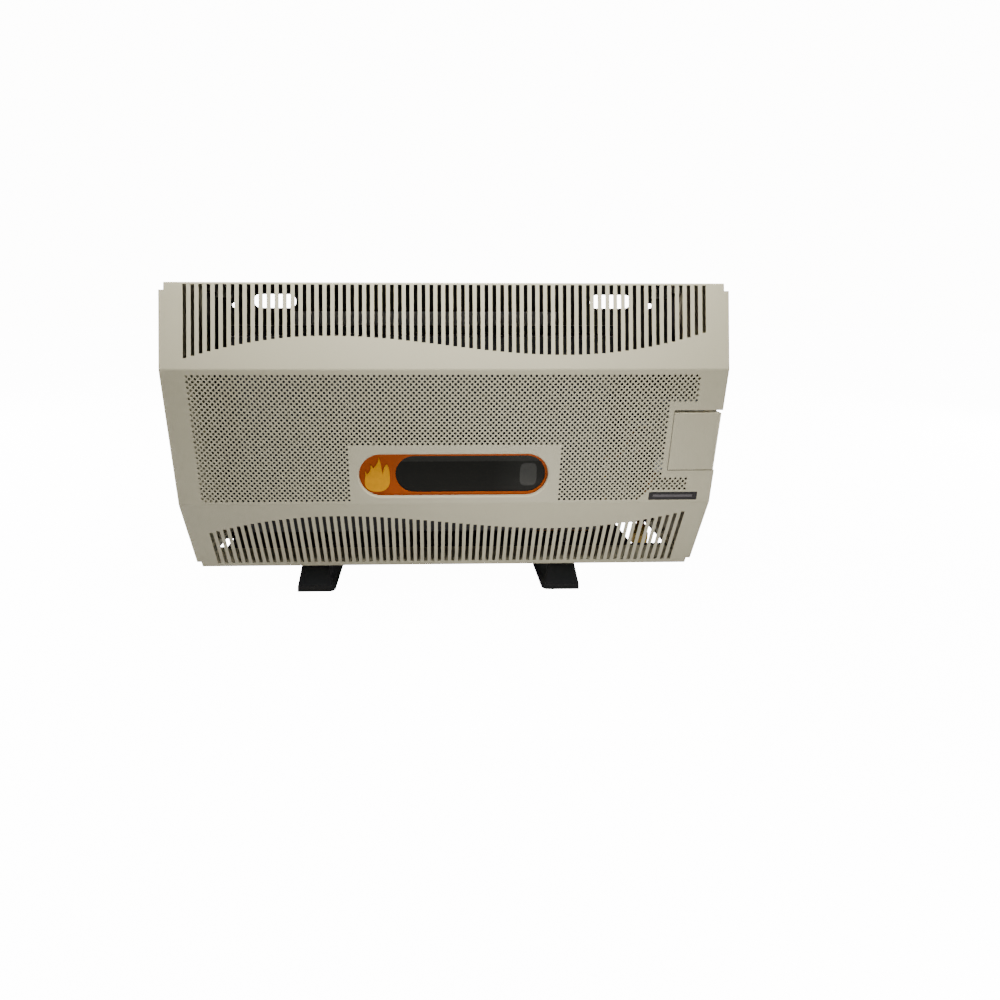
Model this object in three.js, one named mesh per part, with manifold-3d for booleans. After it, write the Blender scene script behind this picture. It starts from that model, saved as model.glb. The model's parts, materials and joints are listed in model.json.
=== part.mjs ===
// Wall mounted balanced-flue gas heater, millimetres.
// X runs right as seen from the front, Y towards the wall, Z up.
// The origin is on the floor under the middle of the casing.
import * as THREE from 'three';
import { mergeVertices } from 'three/addons/utils/BufferGeometryUtils.js';
import Module from 'manifold-3d';

const wasm = await Module();
wasm.setup();

// ---------- driving dimensions ----------
// casing
const bodyWidth = 720;
const bodyDepth = 200;
const footHeight = 31.5;
const lowerSlopeHeight = 108.2;
const lowerSlopeSetback = 32.6;
const frontHeight = 180.3;
const upperSlopeHeight = 104.2;
const upperSlopeSetback = 33.6;
const sheet = 1;
const sideBend = 6;
const cornerInset = 7;
const cornerStep = 9.2;
const coverReturn = 60;
const coverWallGap = 1.5;

// clearances
const seat = 0.3;
const slip = 0.4;
const seam = 1;

// air slots
const slotWidth = 5;
const slotPitch = 9.91;
const slotSideMargin = 32.5;
const upperSlotMargin = 1.8;
const upperSlotEnd = 79.2;
const lowerSlotStart = 32.4;
const lowerSlotMargin = 7.6;
const waveHeight = 12;
const waveCrest = 150;
const waveShoulderRadius = 557;

// perforated field of the front, cut as a plain grid of openings
const fieldLeftMargin = 30;
const fieldRightMargin = 37.7;
const fieldDrop = 6.5;
const fieldHeight = 166.6;
const fieldClearance = 14;
const fieldOpenShare = 0.62;

// viewing window
const windowCentre = 9.1;
const windowLength = 253.2;
const windowHeight = 59;
const windowDrop = 111.1;
const bezelFlange = 5;
const bezelWall = 1.5;
const bezelDepth = 7;
const paneHeight = 51;
const paneLength = 201.8;
const paneEndMargin = 3.1;
const paneOverlap = 2.5;
const glassThickness = 4;
const emblemWidth = 33.8;
const emblemHeight = 48.4;
const emblemThickness = 0.6;
const emblemInset = 23.9;
const strapWidth = 10;
const strapSheet = 0.8;
const strapFoot = 4;
const strapLeftInset = 84.4;
const strapRightInset = 32.2;

// bare badge plate
const badgeLength = 64.9;
const badgeHeight = 10;
const badgeSideMargin = 20.2;
const badgeDrop = 166;
const badgeFlange = 3;
const badgeBacking = 0.7;

// control flap
const doorSideMargin = 63.9;
const doorDrop = 52.8;
const doorOpening = 82.1;
const fingerGap = 3;
const doorSideReturn = 17;
const doorLip = 8;
const doorPivotDepth = 4;
const doorPivotRise = 5;
const doorPinRadius = 1.2;
const knuckleRadius = 2.4;
const knuckleLength = 6;
const leftKnuckleInset = 6;
const rightKnuckleInset = 20;
const earThickness = 1.5;
const leftEarInset = 5;
const rightEarInset = 9;
const earRise = 3;
const earReach = 3;
const earPlateWidth = 14;
const earPlateHeight = 9;
const earPlateSheet = 1.2;
const pinOverhang = 1;
const hingeArmLength = 26;
const hingeArmDrop = 2;
const hingeArmHeight = 8;
const hingeTab = 14;

// controls
const panelSetback = 30;
const panelLeftReach = 35;
const panelRightReach = 23;
const panelAbove = 10;
const panelBelow = 12;
const panelFoot = 16;
const panelHoleMargin = 3;
const knobDrop = 82;
const knobSideMargin = 35;
const knobRadius = 18;
const knobHub = 9;
const knobGripWidth = 9;
const knobGripLength = 32;
const knobHubSetback = 4;
const knobFaceSetback = 10.5;
const knobLength = 13;
const knobPlate = 5;
const knobSocket = 3;
const knobTravel = 5;
const dialRadius = 26;
const dialThickness = 0.8;
const dialBore = 8;
const dialFlat = 21;
const dialEdge = 1;
const spindleRadius = 4;
const spindleReach = 28;
const plungerRadius = 2;
const plungerReach = 40;
const plungerRecess = 2;
const igniterDrop = 119;
const buttonSetback = 15;
const buttonRadius = 7;
const buttonLength = 8;
const buttonStemRadius = 4.5;
const buttonStemReach = 14;
const buttonTravel = 6;
const igniterNutWall = 4;
const igniterNutLength = 3;
const igniterHoleMargin = 1.2;
const igniterRadius = 10;
const igniterLength = 34;
const igniterTailRadius = 4;
const igniterTailLength = 8;

// gas valve
const valveDepth = 72;
const valveLeftReach = 26;
const valveRightReach = 24;
const valveBelow = 24;
const valveAbove = 28;
const inletSetback = 92;
const inletBossRadius = 9;
const inletBossLength = 8;
const outletBossRadius = 8;
const outletBossLength = 6;
const magnetRadius = 14;
const magnetLength = 18;
const bossRoot = 4;
const supplySetback = 72;
const supplyDrop = 4;
const pilotOutletSetback = 50;
const smallPortDrop = 14;
const smallPortDepth = 6;
const smallPortGrip = 4;
const capillarySetback = 78;
const capillaryReach = 19;

// pipes and leads
const inletPipeRadius = 6;
const supplyPipeRadius = 4;
const pilotPipeRadius = 2;
const ignitionLeadRadius = 2;
const leadRadius = 1.2;
const capillaryRadius = 1;
const unionWallGap = 58;
const unionFoot = 14;
const unionHexRadius = 14;
const unionHexLength = 20;
const unionNeckRadius = 9;
const unionNeckLength = 12;
const unionSocketRadius = 8;
const unionSocketDepth = 16;
const unionPipeGrip = 8;
const bulbRadius = 4;
const bulbLength = 90;
const bulbChamberReach = 10;
const bulbWallGap = 80;
const bulbRise = 16.5;
const clipWidth = 12;
const clipFlange = 16;
const clipWall = 2;
const clipMouth = 5;
const clipSheet = 0.7;

// combustion chamber
const chamberLeftMargin = 75;
const chamberRightMargin = 135;
const chamberBottom = 78;
const chamberTop = 356;
const chamberSetback = 50;
const chamberWallGap = 52;
const chamberWall = 1.5;
const chamberFlange = 12;
const gasketThickness = 2;
const baffleGap = 18;
const baffleSideMargin = 30;
const baffleRise = 40;
const baffleTopGap = 40;
const baffleTabWidth = 12;
const baffleTabInset = 30;
const baffleTabRise = 20;
const baffleTabSheet = 2;
const sightLength = 180;
const sightHeight = 52;
const sightCentreX = 30;
const sightCentreZ = 178;
const sightRim = 7;
const frameRim = 14;
const frameScrewInset = 4;

// flue
const flueX = -60;
const flueZ = 298;
const exhaustRadius = 30;
const exhaustGrip = 6;
const airRadius = 50;
const tubeWall = 1.2;
const flueFlangeRim = 8;
const flueWallGap = 0.5;
const panelHoleGap = 4;
const airDuctWidth = 124;
const airDuctDepth = 24;
const airDuctBottom = 86;
const airDuctTopMargin = 6;
const airPortLength = 80;
const airPortHeight = 26;
const airPortRise = 8;
const shieldSideMargin = 52;
const shieldWallGap = 20;
const shieldRise = 20;
const shieldTopReach = 28;
const shieldHoleGap = 3;
const railWidth = 30;
const railSideMargin = 10;
const railEndMargin = 14;

// burner
const burnerRadius = 16;
const burnerWall = 1.2;
const burnerRise = 34;
const burnerSetback = 24.5;
const burnerLeftGap = 35;
const burnerRightGap = 27;
const portPitch = 25;
const portWidth = 3;
const portLength = 14;
const portRise = 8;
const portEndMargin = 60;
const saddleWidth = 14;
const saddleRim = 3;
const saddleDrop = 2;
const saddleLeftInset = 30;
const saddleRightInset = 50;
const injectorRadius = 7;
const injectorNoseRadius = 5;
const injectorNoseReach = 24;
const injectorShankReach = 10;
const injectorTail = 22;
const injectorHexRadius = 10;
const injectorHexStart = 6;
const injectorHexLength = 9;
const injectorGasketRise = 14;
const injectorGasketReach = 11;
const pilotRise = 40;
const electrodeRise = 16;
const thermocoupleRise = 30;
const pilotHoleRadius = 4;
const pilotTipInset = 70;
const pilotTubeRadius = 3;
const pilotHeadRadius = 5;
const pilotHeadReach = 10;
const pilotHeadLength = 16;
const pilotTail = 14;
const electrodeWireRadius = 1.2;
const electrodeBodyRadius = 3.6;
const electrodeBodyReach = 28;
const electrodeWireReach = 14;
const electrodeTail = 16;
const thermocoupleRadius = 2.2;
const thermocoupleReach = 12;
const thermocoupleTail = 12;
const pilotPlateInset = 40;
const pilotPlateSheet = 2;
const pilotPlateHalf = 12;
const pilotPlateTop = 8;
const pilotPlateTab = 10;

// back frame
const frameFlange = 26;
const hangSideMargin = 100;
const hangDrop = 25.7;
const hangLength = 65;
const hangHeight = 20;
const wallScrewSideMargin = 38;
const wallScrewDrop = 32;
const wallScrewRadius = 4;
const gasOpeningSideMargin = 10;
const gasOpeningWidth = 54;
const gasOpeningWallGap = 14;
const gasOpeningDepth = 86;
const notchWidth = 12;
const notchWallGap = 70;
const notchDepth = 32;
const panWallGap = 2;
const hookWidth = 26;
const hookLength = 48;
const hookThickness = 1.5;
const hookLeg = 18;
const hookLip = 10;
const hookSideGap = 2;

// feet
const footWidth = 54.5;
const footTopInsetOuter = 4;
const footTopInsetInner = 12;
const footToeSetback = 13;
const footToeHeight = 9;
const footShoulderSetback = 38;
const footLength = 168;
const leftFootMargin = 145;
const rightFootMargin = 166;
const footInnerCorner = 10;
const footOuterCorner = 3;
const footCounterbore = 16;
const footPegRadius = 4;
const footPegGrip = 2;
const footScrewReach = 30;
const footPegSpacing = 45;

// screws
const screwRadius = 1.8;
const screwHeadRadius = 3.7;
const screwHeadHeight = 2.4;
const screwEnd = 2;
const coverScrewSetback = 12;
const coverScrewRise = 70;
const coverScrewLength = 7;

// how far a cutting tool runs past what it cuts
const past = 5;

// ---------- places worked out from them ----------
const front = -bodyDepth / 2;
const wall = bodyDepth / 2;
const side = bodyWidth / 2;
const underside = footHeight;
const lowerBend = underside + lowerSlopeHeight;
const upperBend = lowerBend + frontHeight;
const crown = upperBend + upperSlopeHeight;
const shoulder = side - cornerInset;
const upperSlopeLength = Math.hypot(upperSlopeHeight, upperSlopeSetback);
const lowerSlopeLength = Math.hypot(lowerSlopeHeight, lowerSlopeSetback);
const returnEnd = front + lowerSlopeSetback + coverReturn;

// ---------- finishes ----------
const finishes = {
  paint: { color: 0xbdb9a6, roughness: 0.5, metalness: 0 },
  orange: { color: 0xa8420c, roughness: 0.35, metalness: 0 },
  emblem: { color: 0xd89a1c, roughness: 0.4, metalness: 0 },
  darkGlass: { color: 0x141412, roughness: 0.06, metalness: 0 },
  clearGlass: { color: 0x9aa79e, roughness: 0.08, metalness: 0 },
  badge: { color: 0x1d1c1b, roughness: 0.35, metalness: 0.2 },
  zinc: { color: 0xb9babb, roughness: 0.4, metalness: 0.9 },
  steel: { color: 0x8f9092, roughness: 0.35, metalness: 1 },
  enamel: { color: 0x2b2c2e, roughness: 0.6, metalness: 0.2 },
  aluminised: { color: 0xa6a8a8, roughness: 0.45, metalness: 0.9 },
  stainless: { color: 0xa7a39b, roughness: 0.3, metalness: 1 },
  brass: { color: 0xb08d3f, roughness: 0.3, metalness: 1 },
  copper: { color: 0xb36a3c, roughness: 0.35, metalness: 1 },
  castAlloy: { color: 0x9d9fa1, roughness: 0.5, metalness: 0.8 },
  blackPlastic: { color: 0x232325, roughness: 0.45, metalness: 0 },
  redPlastic: { color: 0x9c1f16, roughness: 0.4, metalness: 0 },
  ceramic: { color: 0xe6e2d8, roughness: 0.35, metalness: 0 },
  fibre: { color: 0xd0ccbf, roughness: 0.95, metalness: 0 },
  silicone: { color: 0x8a2a20, roughness: 0.6, metalness: 0 },
};

// ---------- solid helpers ----------
const toSolid = (geometry) => {
  const bare = geometry.clone();
  bare.deleteAttribute('normal');
  bare.deleteAttribute('uv');
  const merged = mergeVertices(bare, 1e-4);
  return new wasm.Manifold(new wasm.Mesh({
    numProp: 3,
    vertProperties: new Float32Array(merged.attributes.position.array),
    triVerts: new Uint32Array(merged.index.array),
  }));
};

const toGeometry = (solid) => {
  const mesh = solid.getMesh();
  const geometry = new THREE.BufferGeometry();
  geometry.setAttribute('position', new THREE.BufferAttribute(new Float32Array(mesh.vertProperties), 3));
  geometry.setIndex(new THREE.BufferAttribute(new Uint32Array(mesh.triVerts), 1));
  geometry.computeVertexNormals();
  return geometry;
};

const join = (...shapes) => toGeometry(shapes.map(toSolid).reduce((sum, next) => sum.add(next)));
const cut = (shape, ...tools) => toGeometry(
  tools.map(toSolid).reduce((rest, tool) => rest.subtract(tool), toSolid(shape)));
const common = (...shapes) => toGeometry(shapes.map(toSolid).reduce((rest, next) => rest.intersect(next)));

// a block between two corners
const block = (x0, x1, y0, y1, z0, z1) => new THREE.BoxGeometry(x1 - x0, y1 - y0, z1 - z0)
  .translate((x0 + x1) / 2, (y0 + y1) / 2, (z0 + z1) / 2);

// round bars along each axis
const barX = (radius, x0, x1, y, z, sides = 20) => new THREE.CylinderGeometry(radius, radius, x1 - x0, sides)
  .rotateZ(Math.PI / 2).translate((x0 + x1) / 2, y, z);
const barY = (radius, y0, y1, x, z, sides = 20) => new THREE.CylinderGeometry(radius, radius, y1 - y0, sides)
  .translate(x, (y0 + y1) / 2, z);
const barZ = (radius, z0, z1, x, y, sides = 20) => new THREE.CylinderGeometry(radius, radius, z1 - z0, sides)
  .rotateX(Math.PI / 2).translate(x, y, (z0 + z1) / 2);

// a tube along Y with a through bore
const tubeY = (outer, inner, y0, y1, x, z, sides = 32) => cut(
  barY(outer, y0, y1, x, z, sides), barY(inner, y0 - 1, y1 + 1, x, z, sides));

// an outline in Y and Z, extruded along X, its two ends rounded by bend
const extrudeX = (points, x0, x1, bend = 0) => {
  const shape = new THREE.Shape(points.map(([y, z]) => new THREE.Vector2(y, z)));
  const geometry = new THREE.ExtrudeGeometry(shape, {
    depth: x1 - x0 - 2 * bend, bevelEnabled: bend > 0, bevelThickness: bend, bevelSize: bend,
    bevelOffset: -bend, bevelSegments: 4,
  });
  const basis = new THREE.Matrix4().makeBasis(
    new THREE.Vector3(0, 1, 0), new THREE.Vector3(0, 0, 1), new THREE.Vector3(1, 0, 0));
  return geometry.applyMatrix4(basis).translate(x0 + bend, 0, 0);
};

// a shape drawn in X and Z, extruded along Y
const extrudeY = (shape, y0, y1, segments = 8) => new THREE.ExtrudeGeometry(shape, {
  depth: y1 - y0, bevelEnabled: false, curveSegments: segments,
}).rotateX(Math.PI / 2).translate(0, y1, 0);

// a shape drawn in X and Y, extruded along Z
const extrudeZ = (shape, z0, z1, segments = 6) => new THREE.ExtrudeGeometry(shape, {
  depth: z1 - z0, bevelEnabled: false, curveSegments: segments,
}).translate(0, 0, z0);

// a slot with semicircular ends, drawn in X and Z
const capsule = (x0, x1, z0, z1) => {
  const radius = (z1 - z0) / 2;
  const shape = new THREE.Shape();
  shape.absarc(x0 + radius, z0 + radius, radius, Math.PI / 2, 1.5 * Math.PI, false);
  shape.absarc(x1 - radius, z0 + radius, radius, -Math.PI / 2, Math.PI / 2, false);
  shape.closePath();
  return shape;
};

// a round lead or pipe through a list of points
const pipe = (points, radius, sides, steps) => {
  const section = new THREE.Shape();
  section.absarc(0, 0, radius, 0, 2 * Math.PI, false);
  const stations = points.map((point) => new THREE.Vector3(...point));
  const path = new THREE.CatmullRomCurve3(stations, false, 'centripetal');
  return new THREE.ExtrudeGeometry(section, {
    steps, extrudePath: path, curveSegments: sides / 2, bevelEnabled: false,
  });
};

// screw along Z: head below z, shank running up
const screwZ = (x, y, z, length) => join(
  barZ(screwHeadRadius, z - screwHeadHeight, z, x, y, 10), barZ(screwRadius, z - seat, z + length, x, y, 8));
// screw along X: head outside at x, shank running inwards; sign is the side it stands on
const screwX = (sign, x, y, z, length) => {
  const placed = join(
    barX(screwHeadRadius, x, x + screwHeadHeight, y, z, 10),
    barX(screwRadius, x - length, x + seat, y, z, 8));
  return sign > 0 ? placed : placed.rotateZ(Math.PI).translate(0, 2 * y, 0);
};

const heater = new THREE.Group();
const place = (name, geometry, finish) => {
  const mesh = new THREE.Mesh(geometry, new THREE.MeshStandardMaterial(finishes[finish]));
  mesh.name = name;
  heater.add(mesh);
  return mesh;
};

// ---------- casing ----------
// the casing's side outline, inset by a wall and run past the wall line behind
const overrun = 4 * past;
const upperOffset = (inset) => inset * Math.tan(Math.atan2(upperSlopeSetback, upperSlopeHeight) / 2);
const lowerOffset = (inset) => inset * Math.tan(Math.atan2(lowerSlopeSetback, lowerSlopeHeight) / 2);
const upperY = (z, inset) => front + (z - upperBend) * upperSlopeSetback / upperSlopeHeight
  + inset * upperSlopeLength / upperSlopeHeight;
const lowerY = (z, inset) => front + (lowerBend - z) * lowerSlopeSetback / lowerSlopeHeight
  + inset * lowerSlopeLength / lowerSlopeHeight;
const outline = (inset, top, bottom) => [
  [wall + overrun, top - inset],
  [upperY(top - inset, inset), top - inset],
  [front + inset, upperBend - upperOffset(inset)],
  [front + inset, lowerBend + lowerOffset(inset)],
  [lowerY(bottom + inset, inset), bottom + inset],
  [wall + overrun, bottom + inset],
];
// full width between the corner steps, a narrower band to the full height
const casingBody = (inset) => join(
  common(
    extrudeX(outline(inset, crown, underside), -side + inset, side - inset, sideBend - inset),
    block(-side, side, front, wall + overrun, underside + cornerStep + inset, crown - cornerStep - inset)),
  extrudeX(outline(inset, crown, underside), -shoulder + inset, shoulder - inset));

// the wave that the slots' inner ends follow
const wave = (x) => (Math.abs(x) <= waveCrest
  ? waveHeight * Math.sin(Math.PI * x / (2 * waveCrest))
  : Math.sign(x) * (waveHeight - (Math.abs(x) - waveCrest) ** 2 / (2 * waveShoulderRadius)));
const slotsPerSide = Math.floor((side - slotSideMargin) / slotPitch);
const slotCutDepth = 8;
const slots = () => {
  const cutters = [];
  for (let i = -slotsPerSide; i <= slotsPerSide; i += 1) {
    const x = i * slotPitch;
    const upper = [upperSlotMargin, upperSlotEnd + wave(x)];
    const lower = [lowerSlotStart + wave(x), lowerSlopeLength - lowerSlotMargin];
    const upperMid = (upper[0] + upper[1]) / 2 / upperSlopeLength;
    const lowerMid = (lower[0] + lower[1]) / 2 / lowerSlopeLength;
    cutters.push(new THREE.BoxGeometry(slotWidth, slotCutDepth, upper[1] - upper[0])
      .rotateX(-Math.atan2(upperSlopeSetback, upperSlopeHeight))
      .translate(x, front + upperSlopeSetback * (1 - upperMid), crown - upperSlopeHeight * upperMid));
    cutters.push(new THREE.BoxGeometry(slotWidth, slotCutDepth, lower[1] - lower[0])
      .rotateX(Math.atan2(lowerSlopeSetback, lowerSlopeHeight))
      .translate(x, front + lowerSlopeSetback * lowerMid, lowerBend - lowerSlopeHeight * lowerMid));
  }
  return join(...cutters);
};

// window outline, grown or shrunk by an offset
const windowLeft = windowCentre - windowLength / 2;
const windowRight = windowCentre + windowLength / 2;
const windowTop = upperBend - windowDrop;
const windowBottom = windowTop - windowHeight;
const windowArcSteps = 8;
const windowShape = (grow) => capsule(
  windowLeft - grow, windowRight + grow, windowBottom - grow, windowTop + grow);

// lip folded in around the window opening
const lipEnd = front + bezelDepth - seat;
const windowLip = () => cut(
  extrudeY(windowShape(sheet), front, lipEnd, windowArcSteps),
  extrudeY(windowShape(0), front - past, lipEnd + past, windowArcSteps));

// door opening
const doorLeft = side - doorSideMargin;
const openingTop = upperBend - doorDrop;
const openingBottom = openingTop - doorOpening;
const doorBottom = openingBottom + seam;
const doorTop = openingTop - fingerGap;
const pivotY = front + doorPivotDepth;
const pivotZ = doorBottom + doorPivotRise;

// badge
const badgeRight = side - badgeSideMargin;
const badgeLeft = badgeRight - badgeLength;
const badgeTop = upperBend - badgeDrop;
const badgeBottom = badgeTop - badgeHeight;

// openings in even columns and rows over one stretch of the front
const gridCuts = (left, right, bottom, top, columns, rows) => {
  const width = (right - left) / columns;
  const height = (top - bottom) / rows;
  const reachX = fieldOpenShare * width / 2;
  const reachZ = fieldOpenShare * height / 2;
  const cutters = [];
  for (let column = 0; column < columns; column += 1) {
    for (let row = 0; row < rows; row += 1) {
      const x = left + (column + 0.5) * width;
      const z = bottom + (row + 0.5) * height;
      cutters.push(block(x - reachX, x + reachX, front - past, front + past, z - reachZ, z + reachZ));
    }
  }
  return cutters;
};
// the field runs over the window and the door, and down both sides of the window
const fieldCuts = () => {
  const top = upperBend - fieldDrop;
  const bottom = top - fieldHeight;
  const overWindow = windowTop + fieldClearance;
  const rowHeight = (top - overWindow) / 3;
  const left = -side + fieldLeftMargin;
  const beforeWindow = windowLeft - fieldClearance;
  const afterWindow = windowRight + fieldClearance;
  const beforeBadge = badgeLeft - badgeFlange - seam;
  return [
    ...gridCuts(left, beforeWindow, overWindow, top, 4, 3),
    ...gridCuts(left, beforeWindow, bottom, overWindow, 4, 2),
    ...gridCuts(beforeWindow, afterWindow, overWindow, top, 5, 3),
    ...gridCuts(afterWindow, beforeBadge, overWindow, top, 2, 3),
    ...gridCuts(afterWindow, beforeBadge, bottom, overWindow, 2, 2),
    ...gridCuts(beforeBadge, side - fieldRightMargin, top - rowHeight, top, 1, 1),
  ];
};

// cover screws, one low on each side
const coverScrewY = wall - coverScrewSetback;
const coverScrewZ = underside + coverScrewRise;
const screwClearance = screwRadius + slip;

const frontCover = () => {
  const far = bodyWidth;
  const tools = [
    block(-far, far, wall - coverWallGap, far, -far, far),
    block(-shoulder + sheet, shoulder - sheet, returnEnd, far, 0, underside + sheet + seat),
    slots(),
    ...fieldCuts(),
    extrudeY(windowShape(0), front - past, front + past, windowArcSteps),
    block(doorLeft - seam, far, front - past, front + doorSideReturn + seam, openingBottom, openingTop),
    block(badgeLeft - slip, badgeRight + slip, front - past, front + past, badgeBottom - slip, badgeTop + slip),
    barX(screwClearance, -far, far, coverScrewY, coverScrewZ, 12),
  ];
  const folded = cut(casingBody(0), casingBody(sheet), ...tools);
  return join(folded, windowLip());
};
place('front_cover', frontCover(), 'paint');

// ---------- back frame ----------
const frameInset = sheet + slip;
const frameRear = wall - sheet;
const hangX = side - hangSideMargin;
const hangZ = crown - hangDrop;
const wallScrewX = side - wallScrewSideMargin;
const wallScrewZ = crown - wallScrewDrop;
const panelHoleRadius = airRadius + panelHoleGap;
const gasOpeningRight = side - gasOpeningSideMargin;
const gasOpeningLeft = gasOpeningRight - gasOpeningWidth;
const gasOpeningFar = wall - gasOpeningWallGap;
const notchFar = wall - notchWallGap;

const frameBox = (inset, y0, y1) => join(
  block(-side + frameInset + inset, side - frameInset - inset, y0, y1,
    underside + cornerStep + frameInset + inset, crown - cornerStep - frameInset - inset),
  block(-shoulder + frameInset + inset, shoulder - frameInset - inset, y0, y1,
    underside + inset, crown - frameInset - inset));

// each foot has a screw near its middle and a locating peg near its heel
const footEdge = (sign) => (sign > 0 ? side - rightFootMargin : leftFootMargin - side);
const footPlace = (sign, row) => {
  const middle = (footWidth - footTopInsetInner + footTopInsetOuter) / 2;
  return [footEdge(sign) - sign * middle, returnEnd + footScrewReach + footPegSpacing * row];
};

const backFrame = () => {
  const frameFront = wall - frameFlange;
  const tray = cut(frameBox(0, frameFront, wall), frameBox(sheet, frameFront - past, frameRear));
  const panEdge = shoulder - frameInset;
  const pan = block(-panEdge, panEdge, returnEnd + seam, wall - panWallGap, underside, underside + sheet);
  const holeZ = [underside - past, underside + past];
  const tools = [
    block(gasOpeningLeft, gasOpeningRight, gasOpeningFar - gasOpeningDepth, gasOpeningFar, ...holeZ),
    block(-panEdge - past, notchWidth - panEdge, notchFar - notchDepth, notchFar, ...holeZ),
    barY(panelHoleRadius, wall - past, wall + past, flueX, flueZ, 32),
    barX(screwClearance, -bodyWidth, bodyWidth, coverScrewY, coverScrewZ, 12),
  ];
  for (const sign of [-1, 1]) {
    const slotLeft = sign * hangX - hangLength / 2;
    const slot = capsule(slotLeft, slotLeft + hangLength, hangZ - hangHeight / 2, hangZ + hangHeight / 2);
    tools.push(extrudeY(slot, wall - past, wall + past, 5));
    tools.push(barY(wallScrewRadius, wall - past, wall + past, sign * wallScrewX, wallScrewZ, 12));
    tools.push(barZ(screwClearance, ...holeZ, ...footPlace(sign, 0), 12));
    tools.push(barZ(footPegRadius + seat, ...holeZ, ...footPlace(sign, 1), 12));
  }
  return cut(join(tray, pan), ...tools);
};
place('back_frame', backFrame(), 'zinc');

// hooks that carry the cover's top
const coverHook = (sign) => {
  const outer = shoulder - frameInset - sheet - hookSideGap;
  const left = sign > 0 ? outer - hookWidth : -outer;
  const right = left + hookWidth;
  const rear = frameRear - seat;
  const tip = rear - hookLength;
  const z = crown - frameInset - sheet - seat;
  return join(
    block(left, right, tip, rear, z - hookThickness, z),
    block(left, right, rear - hookThickness, rear, z - hookLeg, z),
    block(left, right, tip, tip + hookThickness, z - hookLip, crown - sheet - seat));
};
place('cover_hook_left', coverHook(-1), 'zinc');
place('cover_hook_right', coverHook(1), 'zinc');

// ---------- feet ----------
const footTop = underside - seat;
const footShape = (sign) => {
  const toe = front + footToeSetback;
  const heel = toe + footLength;
  const shoulderY = front + footShoulderSetback;
  const profile = [[toe, 0], [heel, 0], [heel, footTop], [shoulderY, footTop], [toe, footToeHeight]];
  const outer = footEdge(sign);
  const inner = outer - sign * footWidth;
  const section = new THREE.Shape([
    new THREE.Vector2(outer, 0), new THREE.Vector2(inner, 0),
    new THREE.Vector2(inner + sign * footTopInsetInner, footHeight),
    new THREE.Vector2(outer - sign * footTopInsetOuter, footHeight)]);
  const plan = new THREE.Shape();
  plan.moveTo(outer, heel + past);
  plan.lineTo(outer, toe + footOuterCorner);
  plan.quadraticCurveTo(outer, toe, outer - sign * footOuterCorner, toe);
  plan.lineTo(inner + sign * footInnerCorner, toe);
  plan.quadraticCurveTo(inner, toe, inner, toe + footInnerCorner);
  plan.lineTo(inner, heel + past);
  plan.closePath();
  const left = Math.min(inner, outer);
  const body = common(
    extrudeX(profile, left - past, left + footWidth + past),
    extrudeY(section, toe - past, heel + past),
    extrudeZ(plan, -past, footHeight + past));
  const screwPlace = footPlace(sign, 0);
  const pegPlace = footPlace(sign, 1);
  const peg = barZ(footPegRadius, footTop - footPegGrip, underside + sheet + footPegGrip, ...pegPlace, 14);
  return cut(join(body, peg),
    barZ(screwClearance, -past, footHeight + past, ...screwPlace, 12),
    barZ(screwHeadRadius + slip, -past, footCounterbore, ...screwPlace, 14));
};
for (const [name, sign] of [['left', -1], ['right', 1]]) {
  place(`foot_${name}`, footShape(sign), 'blackPlastic');
  const footScrew = screwZ(
    ...footPlace(sign, 0), footCounterbore - seat, underside + sheet + screwEnd - footCounterbore);
  place(`foot_screw_${name}`, footScrew, 'zinc');
  place(`cover_screw_${name}`, screwX(sign, side + seat, coverScrewY, coverScrewZ, coverScrewLength), 'zinc');
}

// ---------- window ----------
const coverInner = front + sheet + seat;
const bezelFace = front + bezelDepth;
const bezelRear = bezelFace + bezelWall;
const paneRight = windowRight - paneEndMargin;
const paneLeft = paneRight - paneLength;
const paneMid = windowBottom + windowHeight / 2;
const paneShape = (grow) => capsule(paneLeft - grow, paneRight + grow,
  paneMid - paneHeight / 2 - grow, paneMid + paneHeight / 2 + grow);
place('window_bezel', cut(
  extrudeY(windowShape(bezelFlange), bezelFace, bezelRear, windowArcSteps),
  extrudeY(paneShape(0), bezelFace - past, bezelRear + past, windowArcSteps)), 'orange');
const paneFace = bezelRear + seat;
const paneRear = paneFace + glassThickness;
place('window_glass', extrudeY(paneShape(paneOverlap), paneFace, paneRear, windowArcSteps), 'darkGlass');

// a plain three-tongued flame, drawn in a box one unit wide and one high
const flameShape = (x, z, width, height) => {
  const shape = new THREE.Shape();
  const px = (u) => x + u * width;
  const pz = (v) => z + v * height;
  const curve = (a, b, c, d, e, f) => shape.bezierCurveTo(px(a), pz(b), px(c), pz(d), px(e), pz(f));
  shape.moveTo(px(0), pz(-0.5));
  curve(0.34, -0.5, 0.52, -0.3, 0.5, -0.08);
  curve(0.48, 0.08, 0.36, 0.16, 0.37, 0.32);
  curve(0.27, 0.26, 0.22, 0.16, 0.2, 0.06);
  curve(0.2, 0.26, 0.1, 0.4, -0.08, 0.5);
  curve(0.02, 0.3, -0.08, 0.2, -0.16, 0.1);
  curve(-0.18, 0.2, -0.24, 0.26, -0.34, 0.3);
  curve(-0.3, 0.12, -0.5, 0.02, -0.5, -0.16);
  curve(-0.5, -0.36, -0.32, -0.5, 0, -0.5);
  return shape;
};
place('flame_emblem', extrudeY(flameShape(windowLeft + emblemInset, paneMid, emblemWidth, emblemHeight),
  bezelFace - seat - emblemThickness, bezelFace - seat, 5), 'emblem');

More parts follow.
